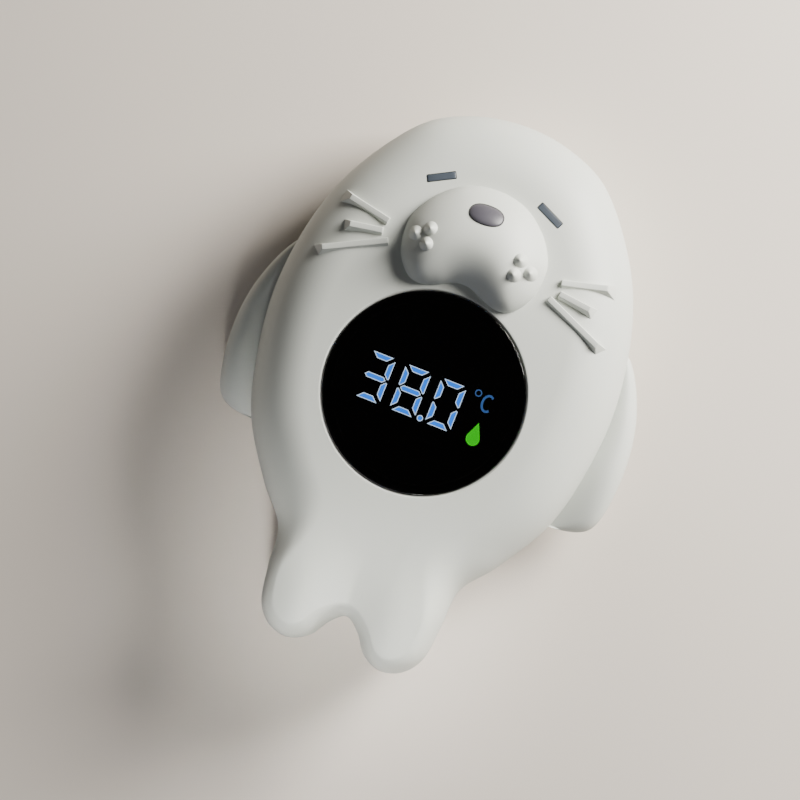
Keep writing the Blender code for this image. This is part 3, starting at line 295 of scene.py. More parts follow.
def skin(name, rows, finish=None, sharp=None, loop=False):
    """A piece through rows of equally many points, each row closed on itself. The two ends are
    filled, or the last row joins the first. Faces turn outwards by the sign of the volume."""
    rows = np.asarray(rows, dtype=float)
    count, steps = rows.shape[:2]
    points = rows.reshape(-1, 3)
    i, j = np.meshgrid(np.arange(count if loop else count - 1), np.arange(steps), indexing="ij")
    k, after = (i + 1) % count, (j + 1) % steps
    corners = [i * steps + j, i * steps + after, k * steps + after, k * steps + j]
    faces = np.stack(corners, axis=-1).reshape(-1, 4)
    a, b, c, d = ((points - points.mean(axis=0))[faces[:, corner]] for corner in range(4))
    outward = np.sum(np.cross(a, b) * c) + np.sum(np.cross(a, c) * d) > 0
    faces = faces if outward else faces[:, ::-1]
    near, far = list(range(steps)), list(range(steps * (count - 1), steps * count))
    ends = [] if loop else [near[::-1], far] if outward else [near, far[::-1]]
    mesh = bpy.data.meshes.new(name)
    mesh.from_pydata(points, [], faces.tolist() + ends)
    mesh.update()
    mesh.shade_smooth()
    if sharp:
        mesh.set_sharp_from_angle(angle=math.radians(sharp))
    if finish:
        mesh.materials.append(finish)
    obj = bpy.data.objects.new(name, mesh)
    bpy.context.scene.collection.objects.link(obj)
    return obj


def level(points, height):
    """Flat points lifted to one height, or each to its own."""
    return np.column_stack([points, np.broadcast_to(height, len(points))])


def circle(centre, radius, steps=96):
    """Points at equal angles about a centre, counter-clockwise from its right."""
    turn = np.arange(steps) / steps * 2 * math.pi
    return np.array(centre)[:2] + radius * np.column_stack([np.cos(turn), np.sin(turn)])


def carved(target, tools, sharp):
    """Cuts closed tools out of a piece, keeps the cut mesh and removes the tools. Edges sharper
    than an angle in degrees stay crisp."""
    for tool in tools:
        cut = target.modifiers.new(tool.name, "BOOLEAN")
        cut.operation = "DIFFERENCE"
        cut.solver = "EXACT"
        cut.object = tool
    seen = target.evaluated_get(bpy.context.evaluated_depsgraph_get())
    mesh = bpy.data.meshes.new_from_object(seen)
    target.modifiers.clear()
    target.data = mesh
    for tool in tools:
        bpy.data.objects.remove(tool, do_unlink=True)
    mesh.shade_smooth()
    mesh.set_sharp_from_angle(angle=math.radians(sharp))


def belongs(obj, slot, *nodes):
    """Fixes a piece to the body and hides the solids that it stands for. Its slot is not used."""
    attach(obj, "root")
    if nodes:
        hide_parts(*nodes)


# Shares of a reach, close together at the outline, where the surface is steepest.
INSETS = np.array([0, 0.001, 0.004, 0.012, 0.03, 0.06, 0.1, 0.16, 0.24, 0.34, 0.46, 0.6, 0.76, 1.0])


def inward(outline):
    """Unit steps square to a counter-clockwise outline, into it."""
    chord = np.roll(outline, -1, axis=0) - np.roll(outline, 1, axis=0)
    return np.stack([-chord[:, 1], chord[:, 0]], axis=1) / np.linalg.norm(chord, axis=1)[:, None]


def slopes(outline, edge, reach, target, shares):
    """Rings inside an outline: set in square to it by growing depths up to a reach, then drawn from
    the last of them to a target ring by each share. Gives their points and depths, ring by ring: at
    the outline a depth is its known inset, and from the sure depth on it is the soft depth."""
    rings = [outline + inward(outline) * reach * depth for depth in INSETS]
    rings += [rings[-1] + (target - rings[-1]) * share for share in shares]
    flat = np.concatenate(rings)
    known = np.repeat(np.concatenate([INSETS * reach, np.full(len(shares), reach)]), len(outline))
    trust = np.clip(known / SURE_DEPTH, 0, 1)
    return flat, known * (1 - trust) + soft_depth(flat, edge) * trust


# Spark-eroded ABS: pale sage grey with an even matt sheen. Its grain is drawn at 0.3 mm, coarser
# than the real 0.05 mm, so that it shows.
MATT_ABS, tree, shader, places = surface("matt_sage_abs", IOR=1.53)
toned(tree, shader.inputs["Base Color"], noise(tree, places, 22 * MM, 3.0), "C5C9C2", "CED1CA")
glossed(tree, shader, noise(tree, places, 0.3 * MM), 0.44, 0.58)
bumped(tree, shader, noise(tree, places, 0.3 * MM), 0.012 * MM, 0.5)

brim = LENS_CENTRE + RAYS * (APERTURE_RADIUS + APERTURE_CHAMFER)
flat, depth = slopes(OUTLINE, EDGE, EDGE_REACH, brim, np.linspace(0, 1, 80)[1:])
rows = list(np.column_stack([flat, base_height(flat, depth)]).reshape(-1, len(OUTLINE), 3))
brim_height = rows[-1][:, 2].min()

# The chamfer has softened corners. Below it are the opening's wall, the lens's ledge and the hollow.
for radius, depth in (
    (APERTURE_RADIUS + APERTURE_CHAMFER * 0.88, APERTURE_CHAMFER * 0.04),
    (APERTURE_RADIUS + APERTURE_CHAMFER * 0.08, APERTURE_CHAMFER * 0.84),
    (APERTURE_RADIUS, APERTURE_CHAMFER),
    (APERTURE_RADIUS, LEDGE_TOP_DEPTH),
    (LEDGE_RADIUS, LEDGE_TOP_DEPTH),
    (LEDGE_RADIUS, LEDGE_UNDERSIDE_DEPTH),
    (HOLLOW_RADIUS, LEDGE_UNDERSIDE_DEPTH),
):
    rows.append(level(LENS_CENTRE + RAYS * radius, brim_height - depth))
for inset, height in INNER_WALL:
    rows.append(level(OUTLINE + inward(OUTLINE) * inset * MM, height * MM))
front = skin("front_shell_skin", rows, MATT_ABS, loop=True)

# The muzzle is a bean-shaped dome. It starts inside the face, and its last ring lies close round a hub.
hub = MUZZLE_HUB + (MUZZLE_RIM - MUZZLE_HUB) * 0.02
flat, depth = slopes(MUZZLE_RIM, MUZZLE_EDGE, MUZZLE_REACH, hub, np.linspace(0, 1, 50)[1:])
rise = MUZZLE_RISE * roll(depth, MUZZLE_ROLL, MUZZLE_POWER)
rows = np.column_stack([flat, base_height(flat) + rise]).reshape(-1, len(MUZZLE_RIM), 3)
muzzle = skin("muzzle_dome", [rows[0] - (0, 0, MUZZLE_ROOT), *rows], MATT_ABS)

EYE_PLACE = np.array([11.0, 38.95]) * MM
EYE_LENGTH = 5.5 * MM
EYE_WIDTH = 1.3 * MM
EYE_CORNER = 0.14 * MM
EYE_SLOPE = math.radians(26.5)
NOSE_PLACE = np.array([0, 34.6]) * MM
NOSE_SIZE = np.array([6.7, 3.8]) * MM
NOSE_POWER = 2.3
POCKET_DEPTH = 1.1 * MM
POCKET_TOP = 1.5 * MM
POCKET_CORNER = 0.25 * MM
POCKET_GAP = 0.13 * MM


def rounded_box(half_x, half_y, corner, steps=8):
    """Outline of a rectangle whose corners are quarter circles, counter-clockwise, with each chord
    between its points cut in four."""
    arcs = []
    for quarter, (u, v) in enumerate(((1, 1), (-1, 1), (-1, -1), (1, -1))):
        turn = (np.arange(steps + 1) / steps + quarter) * math.pi / 2
        x = u * (half_x - corner) + corner * np.cos(turn)
        y = v * (half_y - corner) + corner * np.sin(turn)
        arcs.append(np.column_stack([x, y]))
    points = np.concatenate(arcs)
    chords = np.roll(points, -1, axis=0) - points
    fine = points[:, None] + chords[:, None] * (np.arange(4) / 4)[None, :, None]
    return fine.reshape(-1, 2)


def eye_rim(side, margin, corner):
    """Outline of an eye: a bar that slopes down away from the middle of the face."""
    along = np.array([math.cos(EYE_SLOPE) * side, -math.sin(EYE_SLOPE)])
    across = np.array([-along[1], along[0]])
    bar = rounded_box(EYE_LENGTH / 2 + margin, EYE_WIDTH / 2 + margin, corner)
    return EYE_PLACE * (side, 1) + bar[:, :1] * along + bar[:, 1:] * across


def nose_rim(margin, steps=96):
    """Outline of the nose: a superellipse, which is an ellipse whose square is another power."""
    turn = np.arange(steps) / steps * 2 * math.pi
    x, y = np.cos(turn), np.sin(turn)
    full = (np.abs(x) ** NOSE_POWER + np.abs(y) ** NOSE_POWER) ** (-1 / NOSE_POWER)
    return NOSE_PLACE + np.column_stack([x, y]) * full[:, None] * (NOSE_SIZE / 2 + margin)


def over_face(rim, form):
    """Rows of a piece that follows the face: a rim drawn to its middle by each share, a lift above."""
    centre = rim.mean(axis=0)
    rings = [(centre + (rim - centre) * share, lift) for share, lift in form]
    return [level(points, face_height(points) + lift) for points, lift in rings]


POCKET = [(share, -POCKET_DEPTH) for share in (0.02, 0.5, 1)]
POCKET += [(share, POCKET_TOP) for share in (1, 0.5, 0.02)]
carved(front, [
    skin("left_eye_pocket", over_face(eye_rim(-1, POCKET_GAP, POCKET_CORNER), POCKET)),
    skin("right_eye_pocket", over_face(eye_rim(1, POCKET_GAP, POCKET_CORNER), POCKET)),
], 38)
belongs(front, "shell_plastic", "front_shell")
carved(muzzle, [skin("nose_pocket", over_face(nose_rim(POCKET_GAP), POCKET))], 38)
belongs(muzzle, "shell_plastic")

# Eyes and nose
# The eyes are two satin slate bars of a second plastic, pressed into pockets in the forehead. The
# nose is a satin domed oval button in a warmer grey, on top of the muzzle.
def insert_plastic(name, dark, light, low, high):
    """Moulded plastic of an insert: a slow drift of tone and a faint orange-peel surface."""
    made, tree, shader, places = surface(name, IOR=1.5)
    toned(tree, shader.inputs["Base Color"], noise(tree, places, 3.5 * MM), dark, light)
    peel = noise(tree, places, 0.7 * MM, 1.0)
    glossed(tree, shader, peel, low, high)
    bumped(tree, shader, peel, 0.008 * MM, 0.3)
    return made


EYE_PLASTIC = insert_plastic("satin_slate_plastic", "3A414A", "454D57", 0.42, 0.5)
NOSE_PLASTIC = insert_plastic("satin_nose_plastic", "45434A", "504E56", 0.38, 0.46)
EYE_FORM = (
    (0.9, -1.0 * MM), (1, -1.0 * MM), (1, 0.0), (0.985, 0.07 * MM), (0.95, 0.1 * MM), (0.8, 0.12 * MM),
    (0.5, 0.13 * MM), (0.04, 0.13 * MM),
)
for name, side in (("left_eye", -1), ("right_eye", 1)):
    eye = skin(name + "_insert", over_face(eye_rim(side, 0, EYE_CORNER), EYE_FORM), EYE_PLASTIC, sharp=50)
    belongs(eye, "eye_plastic", name)

# The nose rises with the sine of an angle, to a power, while its rings shrink with the cosine.
dome = [(0.9, -1.0 * MM), (1, -1.0 * MM), (1, -0.05 * MM)]
dome += [(math.cos(t), (0.05 + 0.6 * math.sin(t) ** 0.9) * MM) for t in np.linspace(0.12, 1.53, 16)]
belongs(skin("nose_insert", over_face(nose_rim(0), dome), NOSE_PLASTIC, sharp=60), "nose_plastic", "nose")

# Cheek dots and whiskers
# Both are moulded with the front shell. Each cheek has three low rounded cones, and each side of
# the face three bars with flat tops, which stand up more at their outer ends, where the face falls.
DOT_RADIUS = 1.35 * MM
DOT_HEIGHT = 1.5 * MM
DOT_ROUND = 0.08
DOT_LEAN = 0.3
DOT_ROOT = 0.3 * MM
DOT_SHARES = np.linspace(1.5, 0.04, 28)
DOT_PLACES = ((11.2, 27.0), (8.8, 28.6), (8.6, 25.7))
WHISKER_WIDTH = 1.1 * MM
WHISKER_EDGE = 0.12 * MM
WHISKER_ROOT = 1.1 * MM
HEAD_DRAFT = math.tan(math.radians(5))
TAIL_DRAFT = math.tan(math.radians(30))
WHISKER_STEPS = (0.95 * MM, 1.65 * MM)
WHISKER_ENDS = (((17.5, 27.6), (26.1, 29.6)), ((17.9, 25.5), (24.3, 24.6)), ((16.3, 24.0), (27.9, 18.6)))


def cheek_dot(x, y):
    """Rows of a turned cone that leans a part of the way with the muzzle: its height falls along a
    hyperbola with its share of the radius, so that its tip is round and its side straight."""
    reach = 0.3 * MM
    heights = face_height([(x, y), (x + reach, y), (x - reach, y), (x, y + reach), (x, y - reach)])
    square = Vector((heights[2] - heights[1], heights[4] - heights[3], 2 * reach / DOT_LEAN))
    lean = square.to_track_quat("Z", "Y")
    lifts = DOT_HEIGHT * (1 - np.sqrt(DOT_SHARES**2 + DOT_ROUND)) / (1 - math.sqrt(DOT_ROUND))
    rings = [level(circle((0, 0), DOT_RADIUS * DOT_SHARES[0], 40), lifts[0] - DOT_ROOT)]
    rings += [level(circle((0, 0), DOT_RADIUS * share, 40), lift) for share, lift in zip(DOT_SHARES, lifts)]
    return np.array(rings) @ np.array(lean.to_matrix()).T + (x, y, heights[0])


def whisker(inner, outer):
    """Rows of a bar: its top runs straight between two steps above the face, its side towards the
    tail and its outer end slope out, and its edges and ends close in a quarter round."""
    ends = np.array([inner, outer])
    length = np.linalg.norm(ends[1] - ends[0])
    along = (ends[1] - ends[0]) / length
    across = np.array([-along[1], along[0]]) * np.sign(along[0])
    quarter = np.linspace(0, math.pi / 2, 6)
    start = WHISKER_EDGE * (1 - np.cos(quarter))
    straight = np.linspace(WHISKER_EDGE, length - WHISKER_EDGE, 30)[1:-1]
    run = np.concatenate([start, straight, length - start[::-1]])
    close = WHISKER_EDGE * (1 - np.sin(quarter))
    shrink = np.concatenate([close, np.zeros(len(straight)), close[::-1]])
    centre = ends[0] + run[:, None] * along
    feet = face_height(centre) - WHISKER_ROOT
    low, high = face_height(ends) + WHISKER_STEPS
    climb = np.arange(4) / 4
    rows = []
    for at, share, foot, less in zip(centre, run / length, feet, shrink):
        top = low + (high - low) * share
        half = WHISKER_WIDTH / 2 - less
        round_edge = half - WHISKER_EDGE * (1 - np.cos(quarter))
        spread = (top - foot) * (1 - climb)
        head_side = np.concatenate([half + spread * HEAD_DRAFT, round_edge])
        tail_side = np.concatenate([half + spread * TAIL_DRAFT, round_edge])
        z = np.concatenate([
            foot + (top - less - WHISKER_EDGE - foot) * climb,
            top - less - WHISKER_EDGE * (1 - np.sin(quarter)),
        ])
        x, z = np.concatenate([head_side, -tail_side[::-1]]), np.concatenate([z, z[::-1]])
        out = share * (top - z) * TAIL_DRAFT
        rows.append(np.column_stack([at + x[:, None] * across + out[:, None] * along, z]))
    return rows


for side in (-1, 1):
    for x, y in DOT_PLACES:
        belongs(skin("cheek_dot", cheek_dot(side * x * MM, y * MM), MATT_ABS), "shell_plastic")
    for ends in WHISKER_ENDS:
        inner, outer = np.array(ends) * (side * MM, MM)
        belongs(skin("whisker", whisker(inner, outer), MATT_ABS, sharp=50), "shell_plastic")

# Rear shell
# The boat-shaped lower half is the same matt ABS. The belly is flat enough to rest on, and holds
# the recess of the battery door, four sunk screw seats, the probe's dish and seats for two pins.
BELLY_ROLL = 11.0 * MM
BELLY_CORE = 12.0 * MM
DOOR_LOW, DOOR_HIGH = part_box("battery_door")
DOOR_MIDDLE = np.array(DOOR_LOW[:2]) / 2 + np.array(DOOR_HIGH[:2]) / 2
DOOR_HALF = np.array(DOOR_HIGH[:2]) / 2 - np.array(DOOR_LOW[:2]) / 2
DOOR_CORNER = 4.0 * MM
DOOR_GAP = 0.25 * MM
LIP_WALL = 1.0 * MM
LIP_DEPTH = 3.0 * MM
BELLY_WALL = 1.8 * MM
SEAT_RADIUS = 2.3 * MM
SEAT_DEPTH = 1.5 * MM
DISH_RADIUS = 5.0 * MM
DISH_FLOOR_RADIUS = 2.5 * MM
DISH_DEPTH = 1.05 * MM
PIN_SEAT_RADIUS = 1.75 * MM
PIN_SEAT_DEPTH = 0.75 * MM
OUTSIDE = -1.0 * MM


def middle_of(name):
    """Middle of a solid's box: the mean of its two corners."""
    low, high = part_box(name)
    return (low + high) / 2


def drum(name, centre, radius, low, high, top_radius=None):
    """A closed round tool that stands upright between two heights."""
    top = radius if top_radius is None else top_radius
    return skin(name, [level(circle(centre, radius), low), level(circle(centre, top), high)])


core = LENS_CENTRE + RAYS * BELLY_CORE
flat, depth = slopes(OUTLINE, EDGE, EDGE_REACH, core, np.linspace(0, 1, 60)[1:])
belly_height = SEAM_HEIGHT * (1 - roll(depth, BELLY_ROLL, ROLL_POWER))
rows = list(np.column_stack([flat, belly_height]).reshape(-1, len(OUTLINE), 3)[::-1])
rows.append(level(OUTLINE + inward(OUTLINE) * LIP_WALL, SEAM_HEIGHT))
rows.append(level(OUTLINE + inward(OUTLINE) * LIP_WALL, SEAM_HEIGHT - LIP_DEPTH))
rows.append(level(core, BELLY_WALL))
rear = skin("rear_shell_skin", rows, MATT_ABS)
recess = DOOR_MIDDLE + rounded_box(*(DOOR_HALF + DOOR_GAP), DOOR_CORNER + DOOR_GAP)
tools = [skin("door_recess", [level(recess, OUTSIDE), level(recess, DOOR_HIGH.z)])]
for number in range(1, 5):
    name = f"shell_screw_{number}"
    seat_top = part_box(name)[0].z + SEAT_DEPTH
    tools.append(drum("screw_seat", middle_of(name), SEAT_RADIUS, OUTSIDE, seat_top))
name = "temperature_probe"
dish_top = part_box(name)[0].z + DISH_DEPTH
tools.append(drum("probe_dish", middle_of(name), DISH_RADIUS, -0.3 * MM, dish_top, DISH_FLOOR_RADIUS))
for name in ("left_water_contact", "right_water_contact"):
    seat_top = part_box(name)[0].z + PIN_SEAT_DEPTH
    tools.append(drum("pin_seat", middle_of(name), PIN_SEAT_RADIUS, OUTSIDE, seat_top))
carved(rear, tools, 38)
belongs(rear, "shell_plastic", "rear_shell")

# Flippers
# A swept-back flipper on each side is moulded with the rear shell, just under the seam, so that the
# front shell's edge overhangs it in a crease. It is half round in section, with its crown beyond
# the crease, and ends in a square tip.
FLIPPER_REACH = 7.3 * MM
FLIPPER_CROWN = 1.8 * MM
FLIPPER_TAPER = 0.45
FLIPPER_TIP = 0.55
FLIPPER_HEAD_Y = 18.97 * MM
FLIPPER_TAIL_Y = -17.02 * MM
FLIPPER_THICKNESS = 6.8 * MM
FLIPPER_TOP = SEAM_HEIGHT - 0.4 * MM
FLIPPER_ROOT = 0.7 * MM


def flipper(side):
    """Rows of half-round sections along the flank: their reach grows with the sine of the share of
    the length, and closes within the last fiftieth of it. The upper quarter is lifted by the sine
    of twice its angle, and the height shrinks with the square of the way along the tip."""
    right = EDGE[EDGE[:, 0] > 0]
    order = np.argsort(right[:, 1])
    share = np.concatenate([np.linspace(0, 0.96, 72), 1 - np.linspace(0.2, 0, 22)[1:] ** 2])[:, None]
    y = FLIPPER_HEAD_Y + (FLIPPER_TAIL_Y - FLIPPER_HEAD_Y) * share
    flank = np.interp(y, right[order, 1], right[order, 0])
    close = np.clip(1 - share**30, 0, 1) ** 0.5
    reach = FLIPPER_REACH * np.sin(math.pi / 2 * share**0.75) * close + 0.08 * MM
    half = FLIPPER_THICKNESS / 4 * (1 + np.minimum(1, 2 * reach / FLIPPER_REACH))
    angle = np.linspace(0, math.pi, 41)[None, :]
    x = side * (flank + np.sin(angle) ** 0.9 * (reach + FLIPPER_ROOT) - FLIPPER_ROOT)
    crown = FLIPPER_CROWN * reach / FLIPPER_REACH * np.clip(np.sin(2 * angle), 0, 1)
    shrink = 1 - FLIPPER_TAPER * np.clip((share - FLIPPER_TIP) / (1 - FLIPPER_TIP), 0, 1) ** 2
    z = FLIPPER_TOP - 2 * half + (half * (1 + np.cos(angle)) + crown) * shrink
    return np.stack([x, np.broadcast_to(y, x.shape), z], axis=-1)


for side in (-1, 1):
    belongs(skin("flipper", flipper(side), MATT_ABS, sharp=50), "shell_plastic")

# Display window
# A round window of smoked acrylic, nearly black and polished, with a small round on its edge. It
# stands a little proud of the shell in its opening, and only the lit segments show through it.
LENS_RADIUS = 19.4 * MM
LENS_EDGE = 0.14 * MM
LENS_BREAK = 0.1 * MM
LENS_POLE = 0.5 * MM
LENS_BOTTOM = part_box("display_lens")[0].z

# Acrylic dyed through: little light passes, and the polish carries a very faint long ripple.
SMOKED, tree, shader, places = surface("smoked_acrylic", Roughness=0.03, IOR=1.49, Transmission_Weight=1.0)
ripple = noise(tree, places, 16 * MM, 1.0)
toned(tree, shader.inputs["Base Color"], ripple, "3C383A", "413D3F")
bumped(tree, shader, ripple, 0.01 * MM, 0.1)

profile = [(radius, LENS_TOP) for radius in (LENS_POLE, 6 * MM, 12 * MM, 17 * MM)]
for t in np.linspace(math.pi / 2, 0, 14):
    profile.append((LENS_RADIUS - LENS_EDGE * (1 - math.cos(t)), LENS_TOP - LENS_EDGE * (1 - math.sin(t))))
profile.append((LENS_RADIUS, LENS_BOTTOM + LENS_BREAK))
profile += [(LENS_RADIUS - LENS_BREAK, LENS_BOTTOM), (LENS_POLE, LENS_BOTTOM)]
rows = [level(circle(LENS_CENTRE, radius, 192), height) for radius, height in profile]
belongs(skin("smoked_window", rows, SMOKED, sharp=40), "smoked_lens", "display_lens")

# Readout
# A black film lies on the display's housing. The windows printed in it glow where an LED is lit
# below: 38.0 and the unit in pale blue, each bar lighter at its rim, and a water drop in green.
FILM_LOW, FILM_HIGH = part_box("display_film")
FILM_RADIUS = 17.2 * MM
WINDOW_LIFT = 0.05 * MM
DIGIT_HEIGHT = 9.2 * MM
DIGIT_WIDTH = 5.2 * MM
DIGIT_PITCH = 7.25 * MM
FIRST_DIGIT_X = -9.85 * MM
SEGMENT_WIDTH = 1.08 * MM
CORNER_STOP = 0.55 * MM
MIDDLE_STOP = 0.26 * MM
READOUT_Y = -0.55 * MM
READOUT_TURN = math.radians(-1.7)
LIT = ((1, 1, 1, 0, 0, 1, 1), (1, 1, 1, 1, 1, 1, 1), (1, 0, 1, 1, 1, 1, 1))
POINT_PLACE = np.array([1.0 * MM, READOUT_Y - 4.15 * MM])
POINT_RADIUS = 0.6 * MM
UNIT_PLACE = np.array([12.0 * MM, READOUT_Y + 3.1 * MM])
UNIT_HALF_WIDTH = 1.25 * MM
UNIT_HALF_HEIGHT = 1.75 * MM
UNIT_STROKE = 0.4 * MM
DEGREE_PLACE = np.array([9.65 * MM, READOUT_Y + 4.4 * MM])
DEGREE_RADIUS = 0.68 * MM
DEGREE_STROKE = 0.18 * MM
DROP_PLACE = np.array([11.8 * MM, READOUT_Y - 4.1 * MM])
DROP_RADIUS = 1.32 * MM
DROP_TIP = 3.25 * MM
DROP_SHOULDER = 25


def lit_film(name, core_colour, rim_colour, power):
    """Glowing film: its colour runs from the middle of a window to its lighter rim."""
    made, tree, shader, _ = surface(name, Roughness=0.4, Emission_Strength=power, Base_Color=linear("0A0A0C"))
    rim = node(tree, "ShaderNodeAttribute", attribute_name="rim").outputs["Fac"]
    toned(tree, shader.inputs["Emission Color"], rim, core_colour, rim_colour)
    return made


def digit(centre):
    """The seven bars of a digit, counter-clockwise: top, middle, bottom, then left and right ones.
    The outer bars have mitred ends, and stop short of the digit's corners."""
    w, h, t, c = DIGIT_WIDTH / 2, DIGIT_HEIGHT / 2, SEGMENT_WIDTH, CORNER_STOP
    level_bar = np.array([(w - c, h), (c - w, h), (c + t - w, h - t), (w - c - t, h - t)])
    upright = np.array([
        (w, h - c), (w - t, h - c - t), (w - t, MIDDLE_STOP + 0.75 * t), (w - t / 4, MIDDLE_STOP),
        (w, MIDDLE_STOP + 0.15 * t),
    ])
    tip = w - 0.45 * t
    half_bar = np.array([(tip, 0), (tip - t / 2, t / 2), (t / 2 - tip, t / 2)])
    middle_bar = np.vstack([half_bar, -half_bar])
    bars = [level_bar, middle_bar, (level_bar * (1, -1))[::-1]]
    for side in (-1, 1):
        bars += [(upright * (side, row))[::side * row] for row in (1, -1)]
    return [outline + centre for outline in bars]


def arc_band(centre, half_width, half_height, stroke, start, stop, steps=48):
    """A band that follows an ellipse counter-clockwise between two angles in degrees."""
    turn = np.radians(np.linspace(start, stop, steps))[:, None]
    outer = np.hstack([np.cos(turn) * half_width, np.sin(turn) * half_height])
    inner = np.hstack([np.cos(turn) * (half_width - stroke), np.sin(turn) * (half_height - stroke)])
    return np.vstack([outer, inner[::-1]]) + centre


def windows(name, outlines, finish, border):
    """Raised windows in the film: each has a low wall, a flat rim as wide as a border, and a middle.
    A border is set in square to the two sides at each corner, and the rim attribute falls from one
    on the rim to nought inside it."""
    c, s = math.cos(READOUT_TURN), math.sin(READOUT_TURN)
    points, faces, rims, base = [], [], [], 0
    for outline in outlines:
        outline = outline @ np.array([[c, s], [-s, c]]) + LENS_CENTRE
        before = outline - np.roll(outline, 1, axis=0)
        before /= np.linalg.norm(before, axis=1)[:, None]
        after = np.roll(before, -1, axis=0)
        square = np.stack([-before[:, 1] - after[:, 1], before[:, 0] + after[:, 0]], axis=1)
        inset = square / np.maximum(1 + np.sum(before * after, axis=1), 0.3)[:, None]
        n = len(outline)
        for width, height, value in ((0, -WINDOW_LIFT, 1), (0, 0, 1), (0.75 * border, 0, 1), (border, 0, 0)):
            points.append(level(outline + inset * width, FILM_HIGH.z + height))
            rims += [value] * n
        i, j = np.arange(n), (np.arange(n) + 1) % n
        for row in (base, base + n, base + 2 * n):
            faces += (row + np.stack([i, j, n + j, n + i], axis=1)).tolist()
        faces.append((base + 3 * n + i).tolist())
        base += 4 * n
    mesh = bpy.data.meshes.new(name)
    mesh.from_pydata(np.concatenate(points), [], faces)
    mesh.update()
    mesh.attributes.new("rim", "FLOAT", "POINT").data.foreach_set("value", np.array(rims, dtype=np.float32))
    mesh.materials.append(finish)
    obj = bpy.data.objects.new(name, mesh)
    bpy.context.scene.collection.objects.link(obj)
    belongs(obj, "display_film")


figures = [circle(POINT_PLACE, POINT_RADIUS, 40)]
for place, lit in enumerate(LIT):
    bars = digit((FIRST_DIGIT_X + place * DIGIT_PITCH, READOUT_Y))
    figures += [outline for outline, on in zip(bars, lit) if on]
windows("lit_figures", figures, lit_film("blue_lit_film", "1E7CF0", "C4ECFF", 30.0), 0.16 * MM)

unit = [arc_band(UNIT_PLACE, UNIT_HALF_WIDTH, UNIT_HALF_HEIGHT, UNIT_STROKE, 52, 308)]
unit.append(arc_band(DEGREE_PLACE, DEGREE_RADIUS, DEGREE_RADIUS, DEGREE_STROKE, 0.01, 359.99))
windows("lit_unit", unit, lit_film("deep_blue_lit_film", "3A72BC", "5A90D4", 15.0), 0.05 * MM)

# The drop is a circle that is open at its shoulders, where straight sides run up to the tip.
turn = np.radians(np.linspace(180 - DROP_SHOULDER, 360 + DROP_SHOULDER, 41))
drop =np.vstack([np.column_stack([np.cos(turn), np.sin(turn)]) * DROP_RADIUS, [(0, DROP_TIP)]]) + DROP_PLACE
windows("lit_drop", [drop], lit_film("green_lit_film", "02D400", "22F004", 22.0), 0.15 * MM)

# Black ink on a thin polyester film, with a faint screen-printed grain.
INK, tree, shader, places = surface("black_printed_film")
toned(tree, shader.inputs["Base Color"], noise(tree, places, 0.25 * MM), "060607", "0B0A0C")
glossed(tree, shader, noise(tree, places, 0.25 * MM), 0.45, 0.6)
film_top = FILM_HIGH.z - WINDOW_LIFT
profile = [(1 * MM, FILM_LOW.z), (FILM_RADIUS, FILM_LOW.z), (FILM_RADIUS, film_top), (1 * MM, film_top)]
rows = [level(circle(LENS_CENTRE, radius), height) for radius, height in profile]
belongs(skin("printed_film", rows, INK, sharp=40), "display_film", "display_film")

# Battery door, screws and sensors
# All of these are in the belly: a flat door with rounded edges and one screw, four long screws deep
# in their seats, a spun steel cap over the thermistor, and two steel pins that feel the water.
def steel(name, dark, light, low, high, size):
    """Bright metal with fine tool marks: tone, gloss and relief follow one streaky noise."""
    made, tree, shader, places = surface(name, Metallic=1.0)
    stretch = node(tree, "ShaderNodeMapping", {"Vector": places, "Scale": (1, 1, 6)}).outputs["Vector"]
    marks = noise(tree, stretch, size, 4.0)
    toned(tree, shader.inputs["Base Color"], marks, dark, light)
    glossed(tree, shader, marks, low, high)
    bumped(tree, shader, marks, 0.004 * MM, 0.5)
    return made


# Turned stainless steel is a cool grey under a bright sheen. Nickel plating is warmer and softer.
STEEL = steel("turned_stainless_steel", "AEB2B5", "C6C9CB", 0.18, 0.34, 0.5 * MM)
NICKEL = steel("nickel_plated_strip", "BDB8AC", "D0CBBF", 0.22, 0.36, 0.8 * MM)

DOOR_FILLET = 0.35 * MM
DOOR_FACE_INSET = 2 * MM
DOOR_SEAT_DEPTH = 1.55 * MM
DOOR_WAY_RADIUS = 1.2 * MM
DOOR_WAY_TOP = 4.0 * MM

# Rows of the door as insets from its outline and heights above its face.
quarter = np.linspace(math.pi / 2, 0, 7)
door_height = DOOR_HIGH.z - DOOR_LOW.z
form = [(DOOR_FACE_INSET, 0.0)]
form += [(DOOR_FILLET * (1 - math.sin(t)), DOOR_FILLET * (1 - math.cos(t))) for t in quarter]
form += [(0.0, door_height), (DOOR_FACE_INSET, door_height)]
rows = []
for less, up in form:
    outline = DOOR_MIDDLE + rounded_box(*(DOOR_HALF - less), DOOR_CORNER - less)
    rows.append(level(outline, DOOR_LOW.z + up))
door = skin("battery_door_cover", rows, MATT_ABS, sharp=40)
screw_place = middle_of("door_screw")
carved(door, [
    drum("door_seat", screw_place, SEAT_RADIUS, OUTSIDE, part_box("door_screw")[0].z + DOOR_SEAT_DEPTH),
    drum("door_way", screw_place, DOOR_WAY_RADIUS, 0, DOOR_WAY_TOP),
], 40)
belongs(door, "shell_plastic", "battery_door")


def turned(name, centre, profile, finish, sharp=35):
    """A piece turned about an upright line from pairs of radius and height in millimetres above a
    base point."""
    rings = [level(circle(centre, radius * MM, 64), centre[2] + up * MM) for radius, up in profile]
    return skin(name, rings, finish, sharp)


